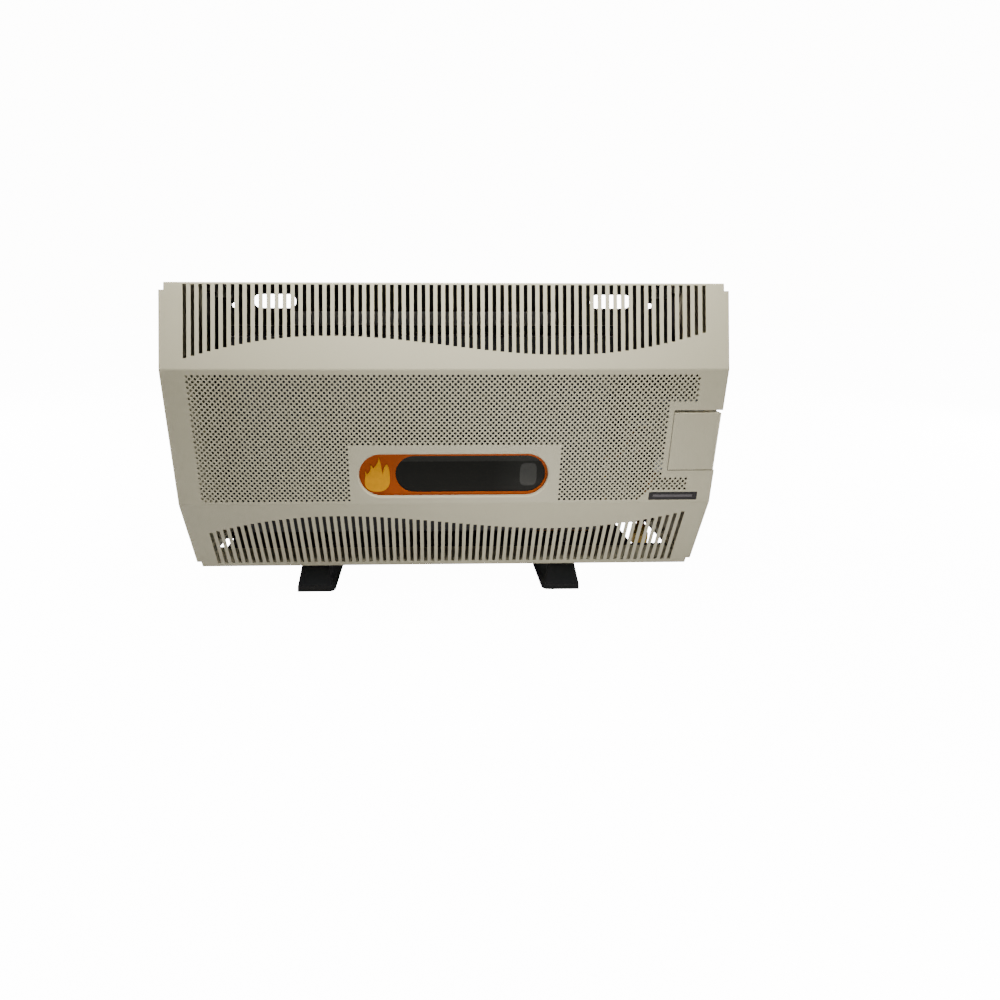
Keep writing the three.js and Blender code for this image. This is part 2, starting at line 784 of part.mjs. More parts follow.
// spring straps that hold glass and bezel against the cover
const windowStrap = (x) => {
  const half = windowHeight / 2 + bezelFlange + seat;
  const rear = paneRear + seat;
  const edge = half + strapSheet;
  const bars = [block(x, x + strapWidth, rear, rear + strapSheet, paneMid - edge, paneMid + edge)];
  for (const sign of [1, -1]) {
    const ends = (a, b) => [paneMid + sign * a, paneMid + sign * b].sort((p, q) => p - q);
    bars.push(block(x, x + strapWidth, coverInner, rear + strapSheet, ...ends(half, edge)));
    bars.push(block(x, x + strapWidth, coverInner, coverInner + strapSheet, ...ends(half, half + strapFoot)));
  }
  return join(...bars);
};
place('window_strap_left', windowStrap(windowLeft + strapLeftInset), 'stainless');
place('window_strap_right', windowStrap(windowRight - strapRightInset - strapWidth), 'stainless');

const badgeRear = coverInner + badgeBacking;
place('badge_plate', join(
  block(badgeLeft, badgeRight, front, badgeRear, badgeBottom, badgeTop),
  block(badgeLeft - badgeFlange, badgeRight + badgeFlange, coverInner, badgeRear,
    badgeBottom - badgeFlange, badgeTop + badgeFlange)), 'badge');

// ---------- control flap ----------
const pinHole = doorPinRadius + seat;
const controlDoor = () => {
  const plan = new THREE.Shape();
  const bendX = side - sideBend;
  const midSheet = front + sheet / 2;
  plan.moveTo(doorLeft, front);
  plan.lineTo(bendX, front);
  plan.absarc(bendX, front + sideBend, sideBend, -Math.PI / 2, 0, false);
  plan.lineTo(side, front + doorSideReturn);
  plan.lineTo(side - sheet, front + doorSideReturn);
  plan.lineTo(side - sheet, front + sideBend);
  plan.absarc(bendX, front + sideBend, sideBend - sheet, 0, -Math.PI / 2, true);
  plan.lineTo(doorLeft, front + sheet);
  plan.closePath();
  const skin = extrudeZ(plan, doorBottom, doorTop, 4);
  const lip = block(doorLeft, bendX, midSheet, front + doorLip, doorTop - sheet, doorTop);
  const knuckle = (x) => block(x, x + knuckleLength, midSheet, pivotY + knuckleRadius,
    pivotZ - knuckleRadius, pivotZ + knuckleRadius);
  const leftKnuckle = knuckle(doorLeft + leftKnuckleInset);
  const rightKnuckle = knuckle(side - rightKnuckleInset);
  const hole = barX(pinHole, doorLeft - past, side - 2 * sheet, pivotY, pivotZ, 12);
  return cut(join(skin, lip, leftKnuckle, rightKnuckle), hole);
};
place('control_door', controlDoor(), 'paint');

const leftEarX = doorLeft - leftEarInset;
const rightEarX = side - rightEarInset;
const rightEarEnd = rightEarX + earThickness;
place('door_hinge_pin', barX(
  doorPinRadius, leftEarX - pinOverhang, rightEarEnd + pinOverhang, pivotY, pivotZ, 12), 'zinc');
const hingeBracketLeft = () => {
  const earEnd = leftEarX + earThickness;
  const plate = block(leftEarX - earPlateWidth, earEnd, coverInner, coverInner + earPlateSheet,
    pivotZ - earPlateHeight, pivotZ + earPlateHeight);
  const ear = block(leftEarX, earEnd, coverInner, pivotY + earReach, pivotZ - earRise, pivotZ + earRise);
  return cut(join(plate, ear), barX(pinHole, leftEarX - past, earEnd + past, pivotY, pivotZ, 12));
};
const hingeBracketRight = () => {
  const sideFace = side - sheet - slip;
  const bend = pivotY + hingeArmLength;
  const armBottom = pivotZ - hingeArmDrop;
  const eye = barX(knuckleRadius, rightEarX, rightEarEnd, pivotY, pivotZ, 16);
  const arm = block(rightEarX, rightEarEnd, pivotY, bend, armBottom, pivotZ + knuckleRadius);
  const web = block(rightEarX, sideFace, bend - earThickness, bend, armBottom, pivotZ + hingeArmHeight);
  const tab = block(sideFace - earThickness, sideFace, bend - earThickness, bend + hingeTab,
    armBottom, pivotZ + hingeArmHeight);
  return cut(join(eye, arm, web, tab), barX(pinHole, rightEarX - past, rightEarEnd + past, pivotY, pivotZ, 12));
};
place('door_hinge_bracket_left', hingeBracketLeft(), 'zinc');
place('door_hinge_bracket_right', hingeBracketRight(), 'zinc');

// ---------- controls behind the flap ----------
const knobX = side - knobSideMargin;
const knobZ = upperBend - knobDrop;
const igniterZ = upperBend - igniterDrop;
const panelFace = front + panelSetback;
const panelRear = panelFace + sheet;
const panelLeft = knobX - panelLeftReach;
const panelRight = knobX + panelRightReach;
const panelTop = openingTop + panelAbove;
const panelBottom = openingBottom - panelBelow;
const knobFace = front + knobFaceSetback;
const knobRear = knobFace + knobLength;
const valveFace = panelRear + seat;
const valveRear = valveFace + valveDepth;
const valveLeft = knobX - valveLeftReach;
const valveRight = knobX + valveRightReach;
const valveBottom = knobZ - valveBelow;
const valveTop = knobZ + valveAbove;
const spindleStart = knobFace + knobSocket;
const spindleEnd = valveFace + spindleReach;
const plungerEnd = valveFace + plungerReach;
const inletY = front + inletSetback;
const supplyY = front + supplySetback;
const supplyZ = knobZ - supplyDrop;
const smallPortZ = knobZ - smallPortDrop;
const pilotOutletY = front + pilotOutletSetback;
const capillaryX = knobX - capillaryReach;
const capillaryY = front + capillarySetback;

// front plate with a web running back to the frame, the web open for the pipes and leads
const webHoleNear = front + 42;
const webHoleFar = inletY + inletBossRadius;
const webHoleLow = knobZ - 22;
const webHoleHigh = knobZ + 10;
const lowerHoleGap = 8;
const controlBracket = () => {
  const footRear = frameRear - seat;
  const web = (near, far, low, high) => block(panelLeft - past, panelLeft + past, near, far, low, high);
  return cut(join(
    block(panelLeft, panelRight, panelFace, panelRear, panelBottom, panelTop),
    block(panelLeft, panelLeft + sheet, panelFace, footRear, panelBottom, panelTop),
    block(panelLeft, panelLeft + panelFoot, footRear - sheet, footRear, panelBottom, panelTop)),
  barY(spindleRadius + panelHoleMargin, panelFace - past, panelRear + past, knobX, knobZ, 20),
  barY(buttonStemRadius + igniterHoleMargin, panelFace - past, panelRear + past, knobX, igniterZ, 20),
  web(webHoleNear, webHoleFar, webHoleLow, webHoleHigh),
  web(webHoleNear, webHoleFar, panelBottom + lowerHoleGap, webHoleLow - lowerHoleGap));
};
place('control_bracket', controlBracket(), 'zinc');

// dial ring around the knob
place('dial_plate', cut(common(
  barY(dialRadius, panelFace - seat - dialThickness, panelFace - seat, knobX, knobZ, 40),
  block(panelLeft + dialEdge, panelRight - dialEdge, front, wall, knobZ - dialFlat, knobZ + dialRadius + past)),
barY(dialBore, front, wall, knobX, knobZ, 24)), 'aluminised');

const gasValve = () => {
  const body = block(valveLeft, valveRight, valveFace, valveRear, valveBottom, valveTop);
  const inletBossEnd = valveBottom - inletBossLength;
  const outletBossEnd = valveLeft - outletBossLength;
  const inletBoss = barZ(inletBossRadius, inletBossEnd, valveBottom + bossRoot, knobX, inletY, 20);
  const outletBoss = barX(outletBossRadius, outletBossEnd, valveLeft + bossRoot, supplyY, supplyZ, 16);
  const magnet = barY(magnetRadius, valveRear - bossRoot, valveRear + magnetLength, knobX, knobZ, 20);
  const smallPort = (radius, y) => barX(
    radius + seat, valveLeft - past, valveLeft + smallPortDepth, y, smallPortZ, 10);
  return cut(join(body, inletBoss, outletBoss, magnet),
    barY(spindleRadius + seat, valveFace - past, spindleEnd + knobTravel + seam, knobX, knobZ, 20),
    barY(plungerRadius + seat, valveFace, plungerEnd + knobTravel + seam, knobX, knobZ, 14),
    barZ(inletPipeRadius + seat, inletBossEnd - past, valveBottom, knobX, inletY, 12),
    barX(supplyPipeRadius + seat, outletBossEnd - past, valveLeft, supplyY, supplyZ, 12),
    barZ(capillaryRadius + seat, valveBottom - past, valveBottom + smallPortDepth, capillaryX, capillaryY, 10),
    smallPort(leadRadius, inletY),
    smallPort(pilotPipeRadius, pilotOutletY));
};
place('gas_valve', gasValve(), 'castAlloy');
place('valve_spindle', tubeY(
  spindleRadius, plungerRadius + seat, spindleStart, spindleEnd, knobX, knobZ, 20), 'brass');
place('valve_plunger', barY(
  plungerRadius, spindleStart + plungerRecess, plungerEnd, knobX, knobZ, 14), 'stainless');

const controlKnob = () => cut(join(
  barY(knobRadius, knobRear - knobPlate, knobRear, knobX, knobZ, 36),
  barY(knobHub, knobFace + knobHubSetback, knobRear, knobX, knobZ, 24),
  block(knobX - knobGripWidth / 2, knobX + knobGripWidth / 2, knobFace, knobRear - knobPlate / 2,
    knobZ - knobGripLength / 2, knobZ + knobGripLength / 2)),
barY(spindleRadius + seat, spindleStart - seat, knobRear + past, knobX, knobZ, 20));
place('control_knob', controlKnob(), 'blackPlastic');

const buttonFace = front + buttonSetback;
const stemEnd = panelRear + buttonStemReach;
place('igniter_button', join(
  barY(buttonRadius, buttonFace, buttonFace + buttonLength, knobX, igniterZ, 24),
  barY(buttonStemRadius, buttonFace + buttonLength / 2, stemEnd, knobX, igniterZ, 20)), 'redPlastic');
const nutBore = buttonRadius + seam;
const nutRear = panelFace - seat;
place('igniter_nut', tubeY(
  nutBore + igniterNutWall, nutBore, nutRear - igniterNutLength, nutRear, knobX, igniterZ, 24), 'blackPlastic');
const igniterRear = panelRear + igniterLength;
const igniterTail = igniterRear + igniterTailLength;
const stemBoreEnd = stemEnd + buttonTravel + seam;
place('piezo_igniter', cut(join(
  barY(igniterRadius, panelRear + seat, igniterRear, knobX, igniterZ, 24),
  barY(igniterTailRadius, igniterRear - seam, igniterTail, knobX, igniterZ, 16)),
barY(buttonStemRadius + slip, panelRear - past, stemBoreEnd, knobX, igniterZ, 20)), 'blackPlastic');

// ---------- combustion chamber ----------
const chamberLeft = chamberLeftMargin - side;
const chamberRight = side - chamberRightMargin;
const chamberFront = front + chamberSetback;
const chamberRear = wall - chamberWallGap;
const splitY = (chamberFront + chamberRear) / 2;
const frontShellRear = splitY - gasketThickness / 2 - seat;
const rearShellFront = splitY + gasketThickness / 2 + seat;
const chamberBox = (inset, y0, y1) => block(chamberLeft + inset, chamberRight - inset, y0, y1,
  chamberBottom + inset, chamberTop - inset);
const flangeBox = (y0, y1) => block(chamberLeft - chamberFlange, chamberRight + chamberFlange, y0, y1,
  chamberBottom - chamberFlange, chamberTop + chamberFlange);
const burnerY = chamberFront + burnerSetback;
const burnerHeight = chamberBottom + burnerRise;
const sightLeft = sightCentreX - sightLength / 2;
const sightRight = sightCentreX + sightLength / 2;
const sightTop = sightCentreZ + sightHeight / 2;
const sightBottom = sightCentreZ - sightHeight / 2;
const pilotZ = burnerHeight + pilotRise;
const electrodeZ = pilotZ + electrodeRise;
const thermocoupleZ = pilotZ + thermocoupleRise;
const sightOpening = () => block(
  sightLeft, sightRight, front - past, chamberFront + past, sightBottom, sightTop);
const sightPlate = (rim, y0, y1) => block(
  sightLeft - rim, sightRight + rim, y0, y1, sightBottom - rim, sightTop + rim);
const screwRim = frameRim - frameScrewInset;
const frameScrewXs = [sightLeft - screwRim, sightCentreX, sightRight + screwRim];
const frameScrewZs = [sightBottom - screwRim, sightTop + screwRim];
const sightScrewHoles = (y0, y1) => frameScrewXs.flatMap(
  (x) => frameScrewZs.map((z) => barY(screwClearance, y0, y1, x, z, 10)));
const airPort = (y0, y1) => block(flueX - airPortLength / 2, flueX + airPortLength / 2, y0, y1,
  airDuctBottom + airPortRise, airDuctBottom + airPortRise + airPortHeight);

const chamberFrontShell = () => cut(join(
  chamberBox(0, chamberFront, frontShellRear),
  flangeBox(frontShellRear - chamberWall, frontShellRear)),
chamberBox(chamberWall, chamberFront + chamberWall, splitY + past),
sightOpening(),
barX(injectorRadius + seat, chamberRight - past, chamberRight + past, burnerY, burnerHeight, 16),
...[pilotZ, electrodeZ, thermocoupleZ].map((z) => barX(
  pilotHoleRadius + seat, chamberRight - past, chamberRight + past, burnerY, z, 12)),
...sightScrewHoles(chamberFront - past, chamberFront + past));

const chamberRearShell = () => cut(join(
  chamberBox(0, rearShellFront, chamberRear),
  flangeBox(rearShellFront, rearShellFront + chamberWall)),
chamberBox(chamberWall, splitY - past, chamberRear - chamberWall),
barY(exhaustRadius + seat, chamberRear - past, chamberRear + past, flueX, flueZ, 28),
airPort(chamberRear - past, chamberRear + past));

place('chamber_front', chamberFrontShell(), 'enamel');
place('chamber_rear', chamberRearShell(), 'enamel');
place('chamber_gasket', cut(
  flangeBox(splitY - gasketThickness / 2, splitY + gasketThickness / 2),
  chamberBox(0, splitY - past, splitY + past)), 'fibre');

// baffle that turns the flue gas behind the flame
const baffle = () => {
  const face = splitY + baffleGap;
  const left = chamberLeft + baffleSideMargin;
  const right = chamberRight - baffleSideMargin;
  const low = burnerHeight + baffleRise;
  const plate = block(left, right, face, face + chamberWall, low, chamberTop - baffleTopGap);
  const tab = (x) => block(x, x + baffleTabWidth, face, chamberRear - chamberWall - seat,
    low + baffleTabRise, low + baffleTabRise + baffleTabSheet);
  return join(plate, tab(left + baffleTabInset), tab(right - baffleTabInset - baffleTabWidth));
};
place('chamber_baffle', baffle(), 'stainless');

// sight glass on the chamber front
const sightGasketRear = chamberFront - seat;
const sightGlassRear = sightGasketRear - gasketThickness - seat;
const sightFrameRear = sightGlassRear - glassThickness - seat;
const sightFrameFace = sightFrameRear - chamberWall;
place('sight_glass_gasket', cut(
  sightPlate(sightRim, sightGasketRear - gasketThickness, sightGasketRear), sightOpening()), 'fibre');
place('sight_glass', sightPlate(sightRim, sightGlassRear - glassThickness, sightGlassRear), 'clearGlass');
place('sight_glass_frame', cut(
  sightPlate(frameRim, sightFrameFace, sightFrameRear), sightOpening(),
  ...sightScrewHoles(sightFrameFace - past, sightFrameRear + past)), 'steel');

// ---------- burner ----------
const burnerLeft = chamberLeft + burnerLeftGap;
const burnerRight = chamberRight - burnerRightGap;
const mainBurner = () => {
  const innerRadius = burnerRadius - burnerWall;
  const bore = barX(innerRadius, burnerLeft + burnerWall, burnerRight + past, burnerY, burnerHeight, 24);
  const ports = [];
  for (let x = burnerLeft + portPitch; x < burnerRight - portEndMargin; x += portPitch) {
    ports.push(block(x, x + portWidth, burnerY - portLength / 2, burnerY + portLength / 2,
      burnerHeight + portRise, burnerHeight + burnerRadius + past));
  }
  return cut(barX(burnerRadius, burnerLeft, burnerRight, burnerY, burnerHeight, 24), bore, ...ports);
};
place('main_burner', mainBurner(), 'stainless');
const saddle = (x) => cut(
  block(x, x + saddleWidth, burnerY - burnerRadius - saddleRim, burnerY + burnerRadius + saddleRim,
    chamberBottom + chamberWall + seat, burnerHeight - saddleDrop),
  barX(burnerRadius + seat, x - past, x + saddleWidth + past, burnerY, burnerHeight, 24));
place('burner_saddle_left', saddle(burnerLeft + saddleLeftInset), 'steel');
place('burner_saddle_right', saddle(burnerRight - saddleRightInset), 'steel');

// injector through the chamber's right wall
const injectorEnd = chamberRight + injectorTail;
const injectorHex = chamberRight + injectorHexStart;
place('injector', join(
  barX(injectorNoseRadius, chamberRight - injectorNoseReach, injectorEnd, burnerY, burnerHeight, 12),
  barX(injectorRadius, chamberRight - injectorShankReach, injectorEnd, burnerY, burnerHeight, 16),
  barX(injectorHexRadius, injectorHex, injectorHex + injectorHexLength, burnerY, burnerHeight, 6)), 'brass');
const injectorGasketFace = chamberRight + seat;
place('injector_gasket', cut(
  block(injectorGasketFace, injectorGasketFace + gasketThickness,
    burnerY - injectorGasketReach, burnerY + injectorGasketReach,
    burnerHeight - injectorGasketRise, burnerHeight + injectorGasketRise),
  barX(injectorRadius + seat, chamberRight - past, injectorHex + past, burnerY, burnerHeight, 16)), 'fibre');

// pilot group: burner, electrode and thermocouple enter through the same wall
const pilotTip = burnerRight - pilotTipInset;
const pilotHead = pilotTip - pilotHeadReach;
const pilotEnd = chamberRight + pilotTail;
const electrodeEnd = chamberRight + electrodeTail;
const electrodeBody = chamberRight - electrodeBodyReach;
const thermocoupleEnd = chamberRight + thermocoupleTail;
place('pilot_burner', join(
  barX(pilotTubeRadius, pilotTip, pilotEnd, burnerY, pilotZ, 12),
  barX(pilotHeadRadius, pilotHead, pilotHead + pilotHeadLength, burnerY, pilotZ, 12)), 'brass');
place('ignition_electrode', join(
  barX(electrodeWireRadius, pilotTip - electrodeWireReach, electrodeBody + past, burnerY, electrodeZ, 8),
  barX(electrodeBodyRadius, electrodeBody, electrodeEnd, burnerY, electrodeZ, 14)), 'ceramic');
place('thermocouple', barX(
  thermocoupleRadius, pilotTip - thermocoupleReach, thermocoupleEnd, burnerY, thermocoupleZ, 12), 'copper');
const pilotBracket = () => {
  const x = chamberRight - pilotPlateInset;
  const end = x + pilotPlateSheet;
  const anchor = chamberFront + chamberWall + seat;
  const low = pilotZ - pilotPlateHalf;
  const high = thermocoupleZ + pilotPlateTop;
  const hole = (radius, z) => barX(radius + seat, x - pilotPlateTab - past, end + past, burnerY, z, 12);
  return cut(join(
    block(x, end, anchor, burnerY + pilotPlateHalf, low, high),
    block(x - pilotPlateTab, end, anchor, anchor + pilotPlateSheet, low, high)),
  hole(pilotTubeRadius, pilotZ),
  hole(electrodeWireRadius, electrodeZ),
  hole(thermocoupleRadius, thermocoupleZ));
};
place('pilot_bracket', pilotBracket(), 'steel');

// ---------- pipes and leads ----------
// each route keeps to its own list of points, offset from the pieces at its two ends
const unionY = wall - unionWallGap;
const unionTop = unionFoot + unionHexLength + unionNeckLength;
const unionNeck = unionFoot + unionHexLength;
place('gas_inlet_pipe', pipe([
  [knobX, inletY, valveBottom - seat],
  [knobX, inletY, valveBottom - 14],
  [knobX, inletY, valveBottom - 30],
  [knobX, inletY + 12, valveBottom - 62],
  [knobX, unionY - 12, valveBottom - 92],
  [knobX, unionY, valveBottom - 124],
  [knobX, unionY, unionTop - bossRoot]], inletPipeRadius, 10, 22), 'copper');
place('gas_inlet_nut', cut(join(
  barZ(unionHexRadius, unionFoot, unionNeck, knobX, unionY, 6),
  barZ(unionNeckRadius, unionNeck, unionTop, knobX, unionY, 16)),
barZ(inletPipeRadius + seat, unionTop - unionPipeGrip, unionTop + past, knobX, unionY, 12),
barZ(unionSocketRadius, unionFoot - past, unionFoot + unionSocketDepth, knobX, unionY, 16)), 'brass');
const dropX = valveLeft - 27;
const dropY = supplyY + 24;
place('burner_supply_pipe', pipe([
  [valveLeft - seat, supplyY, supplyZ],
  [valveLeft - 7, supplyY, supplyZ],
  [valveLeft - 14, supplyY + 1, supplyZ],
  [dropX, dropY - 10, supplyZ - 8],
  [dropX, dropY, supplyZ - 26],
  [dropX, dropY, burnerHeight + 40],
  [dropX, burnerY + 12, burnerHeight + 14],
  [dropX - 8, burnerY + 2, burnerHeight + 1],
  [injectorEnd + 8, burnerY, burnerHeight],
  [injectorEnd + seat, burnerY, burnerHeight]], supplyPipeRadius, 8, 34), 'aluminised');
place('pilot_pipe', pipe([
  [valveLeft + smallPortGrip, pilotOutletY, smallPortZ],
  [valveLeft - 3, pilotOutletY, smallPortZ],
  [valveLeft - 12, pilotOutletY, smallPortZ - 1],
  [valveLeft - 26, pilotOutletY + 2, smallPortZ - 16],
  [pilotEnd + 20, burnerY - 8, pilotZ + 10],
  [pilotEnd + 12, burnerY, pilotZ],
  [pilotEnd + seat, burnerY, pilotZ]], pilotPipeRadius, 6, 24), 'aluminised');
place('thermocouple_lead', pipe([
  [thermocoupleEnd + seat, burnerY, thermocoupleZ],
  [thermocoupleEnd + 12, burnerY, thermocoupleZ],
  [thermocoupleEnd + 28, burnerY + 6, thermocoupleZ + 16],
  [panelLeft - 8, inletY - 2, smallPortZ - 2],
  [valveLeft - 4, inletY, smallPortZ],
  [valveLeft + smallPortGrip, inletY, smallPortZ]], leadRadius, 6, 22), 'copper');
place('ignition_lead', pipe([
  [knobX, igniterTail + seat, igniterZ],
  [knobX, igniterTail + 5, igniterZ],
  [knobX - 8, igniterTail + 12, igniterZ - 1],
  [knobX - 26, igniterTail + 8, igniterZ - 6],
  [panelLeft - 12, burnerY + 4, igniterZ - 14],
  [electrodeEnd + 18, burnerY, electrodeZ + 2],
  [electrodeEnd + 8, burnerY, electrodeZ],
  [electrodeEnd + seat, burnerY, electrodeZ]], ignitionLeadRadius, 8, 24), 'silicone');

// thermostat bulb in the cool air under the chamber, with its capillary
const bulbRight = chamberRight + bulbChamberReach;
const bulbY = wall - bulbWallGap;
const bulbZ = underside + bulbRise;
place('thermostat_bulb', join(
  barX(bulbRadius, bulbRight - bulbLength, bulbRight, bulbY, bulbZ, 16),
  pipe([
    [bulbRight - 2, bulbY, bulbZ],
    [bulbRight + 10, bulbY, bulbZ],
    [bulbRight + 40, bulbY - 14, bulbZ + 24],
    [capillaryX - 8, capillaryY + 6, bulbZ + 80],
    [capillaryX, capillaryY, valveBottom - 40],
    [capillaryX, capillaryY, valveBottom + smallPortGrip]], capillaryRadius, 6, 26)), 'copper');
const thermostatClip = () => {
  const left = bulbRight - bulbLength / 2 - clipWidth / 2;
  const right = left + clipWidth;
  const low = underside + sheet + seat;
  const half = bulbRadius + clipWall;
  const post = block(left, right, bulbY - half, bulbY + half, low, bulbZ + half);
  const foot = block(left, right, bulbY - clipFlange, bulbY + clipFlange, low, low + clipSheet);
  return cut(join(post, foot),
    barX(bulbRadius + seat, left - past, right + past, bulbY, bulbZ, 16),
    block(left - past, right + past, bulbY - clipMouth / 2, bulbY + clipMouth / 2, bulbZ, bulbZ + half + past));
};
place('thermostat_clip', thermostatClip(), 'steel');

// ---------- flue and rear of the chamber ----------
const ductFront = chamberRear + seat;
const ductRear = ductFront + airDuctDepth;
const flueFlange = airRadius + flueFlangeRim;
const flueEnd = wall - flueWallGap;
const airDuct = () => {
  const half = airDuctWidth / 2;
  const top = flueZ + airRadius + airDuctTopMargin;
  const shell = (inset) => block(flueX - half + inset, flueX + half - inset,
    ductFront + inset, ductRear - inset, airDuctBottom + inset, top - inset);
  return cut(shell(0), shell(tubeWall),
    barY(exhaustRadius + seat, ductFront - past, ductFront + past, flueX, flueZ, 28),
    barY(airRadius + seat, ductRear - past, ductRear + past, flueX, flueZ, 36),
    airPort(ductFront - past, ductFront + past));
};
place('air_duct', airDuct(), 'aluminised');
place('exhaust_pipe', tubeY(
  exhaustRadius, exhaustRadius - tubeWall, chamberRear - exhaustGrip, flueEnd, flueX, flueZ, 28), 'aluminised');
place('flue_gasket', tubeY(
  flueFlange, airRadius + seat, ductRear + seat, ductRear + seat + gasketThickness, flueX, flueZ, 36), 'fibre');
const collarFlangeY = ductRear + 2 * seat + gasketThickness;
place('air_collar', cut(join(
  barY(airRadius, ductRear - 2 * tubeWall, flueEnd, flueX, flueZ, 36),
  barY(flueFlange, collarFlangeY, collarFlangeY + chamberWall, flueX, flueZ, 36)),
barY(airRadius - tubeWall, front, wall + past, flueX, flueZ, 36)), 'aluminised');

// bright shield between the chamber and the back panel
const heatShield = () => {
  const left = chamberLeft + shieldSideMargin;
  const right = chamberRight - shieldSideMargin;
  const face = wall - shieldWallGap;
  const low = chamberBottom + shieldRise;
  const high = chamberTop + shieldTopReach;
  return cut(join(
    block(left, right, face, face + sheet, low, high),
    block(left, left + sheet, face, frameRear - seat, low, high),
    block(right - sheet, right, face, frameRear - seat, low, high)),
  barY(flueFlange + shieldHoleGap, front, wall + past, flueX, flueZ, 36));
};
place('heat_shield', heatShield(), 'aluminised');

// channels that carry the chamber on the back panel
const chamberRail = (x) => {
  const near = chamberRear + seat;
  const far = frameRear - seat;
  const low = chamberBottom + railEndMargin;
  const high = chamberTop - railEndMargin;
  return join(
    block(x, x + railWidth, near, near + chamberWall, low, high),
    block(x, x + chamberWall, near, far, low, high),
    block(x, x + railWidth, far - chamberWall, far, low, high));
};
place('chamber_rail_left', chamberRail(chamberLeft + railSideMargin), 'zinc');
place('chamber_rail_right', chamberRail(chamberRight - railSideMargin - railWidth), 'zinc');

heater.updateMatrixWorld(true);
export default heater;
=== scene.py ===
import json
import math
import bpy
import bmesh
from mathutils import Matrix, Vector


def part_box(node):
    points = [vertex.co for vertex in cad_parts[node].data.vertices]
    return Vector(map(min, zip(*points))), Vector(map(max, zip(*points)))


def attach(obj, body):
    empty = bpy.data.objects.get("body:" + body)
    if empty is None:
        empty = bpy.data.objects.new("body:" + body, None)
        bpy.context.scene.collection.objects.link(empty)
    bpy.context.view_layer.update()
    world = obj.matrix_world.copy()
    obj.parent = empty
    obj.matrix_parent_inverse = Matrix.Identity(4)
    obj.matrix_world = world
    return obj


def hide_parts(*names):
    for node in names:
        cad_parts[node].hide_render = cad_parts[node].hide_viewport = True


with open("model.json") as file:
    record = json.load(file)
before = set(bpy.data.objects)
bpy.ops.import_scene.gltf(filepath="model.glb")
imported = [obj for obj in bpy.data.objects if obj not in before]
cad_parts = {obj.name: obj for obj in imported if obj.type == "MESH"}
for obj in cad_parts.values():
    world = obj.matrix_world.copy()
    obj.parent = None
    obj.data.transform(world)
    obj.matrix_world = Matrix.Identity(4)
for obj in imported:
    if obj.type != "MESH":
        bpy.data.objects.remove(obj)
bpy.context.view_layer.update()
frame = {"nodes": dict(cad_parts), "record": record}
mm = 0.001
bodyOf = {node: body for body, nodes in frame["record"]["behaviour"]["bodies"].items() for node in nodes}
slotOf = {row["node"]: row["material_slot"] for row in frame["record"]["subparts"]}
print("frame loaded, nodes:", len(frame["nodes"]))

view = {
    "place": (-0.02167, -0.81481, 0.41453),
    "down": 0.30746,
    "turn": 0.02632,
    "roll": 0.00275,
    "lens": 20.343,
    "sensor": 36,
    "clipStart": 0.01,
    "shiftX": 0.055,
    "shiftY": -0.030,
}


def makeCamera():
    data = bpy.data.cameras.new("viewCamera")
    data.sensor_width = view["sensor"]
    data.lens = view["lens"]
    data.shift_x = view["shiftX"]
    data.shift_y = view["shiftY"]
    data.clip_start = view["clipStart"]
    camera = bpy.data.objects.new("viewCamera", data)
    bpy.context.scene.collection.objects.link(camera)
    ahead = Vector((math.sin(view["turn"]) * math.cos(view["down"]),
                    math.cos(view["turn"]) * math.cos(view["down"]),
                    -math.sin(view["down"])))
    right = Vector((math.cos(view["turn"]), -math.sin(view["turn"]), 0))
    up = right.cross(ahead)
    tilted = Matrix.Rotation(-view["roll"], 3, ahead)
    right, up = tilted @ right, tilted @ up
    turn = Matrix((right, up, -ahead)).transposed()
    camera.matrix_world = Matrix.Translation(view["place"]) @ turn.to_4x4()
    bpy.context.scene.camera = camera


def stored(name, bm):
    # the working mesh as a stored one
    mesh = bpy.data.meshes.new(name)
    bm.to_mesh(mesh)
    bm.free()
    return mesh


def pour(bm, mesh):
    # a stored mesh goes into the working one
    bm.from_mesh(mesh)
    bpy.data.meshes.remove(mesh)


def standIn(name, bm):
    holder = bpy.data.objects.new(name, stored(name, bm))
    bpy.context.scene.collection.objects.link(holder)
    return holder


def applied(*holders):
    # the first holder's mesh with its modifier, all holders removed
    result = bmesh.new()
    result.from_object(holders[0], bpy.context.evaluated_depsgraph_get())
    for holder in holders:
        mesh = holder.data
        bpy.data.objects.remove(holder)
        bpy.data.meshes.remove(mesh)
    return result


def feed(tree, inputs, *rows):
    # an output is wired in, anything else becomes the input's own value
    for label, value in rows:
        if isinstance(value, bpy.types.NodeSocket):
            tree.links.new(value, inputs[label])
        else:
            inputs[label].default_value = value


def mathNode(tree, operation, *values):
    node = tree.nodes.new("ShaderNodeMath")
    node.operation = operation
    feed(tree, node.inputs, *enumerate(values))
    return node.outputs[0]


air = {
    "color": (1, 0.99, 0.97),
    "fill": 0.02,
    "mirror": 0.2,
    "backdrop": 14.0,
    "floorGlow": 14.0,
    "floorTone": 0.28,
    "floorSize": 6,
    "floorRoughness": 0.9,
    "lampColor": (1, 0.985, 0.955),
}
softLights = {
    "ceilingPanel": {"place": (0.02, -0.14, 1.0), "aim": (0.02, -0.12, 0.3), "size": 0.4, "power": 23.5},
    "frontPanel": {"place": (0.32, -0.6, 0.03), "aim": (0.25, 0, 0.2), "size": 0.3, "power": 1.3},
    "floorPanel": {"place": (0.1, -0.38, 0.02), "aim": (0.1, -0.09, 0.1), "size": 0.35, "power": 0.9},
    "sidePanel": {"place": (-2.2, 0.35, 0.6), "aim": (-0.36, 0, 0.25), "size": 1.0, "power": 260},
    "farSidePanel": {"place": (2.2, 0.45, 0.6), "aim": (0.36, 0, 0.25), "size": 1.0, "power": 150},
}


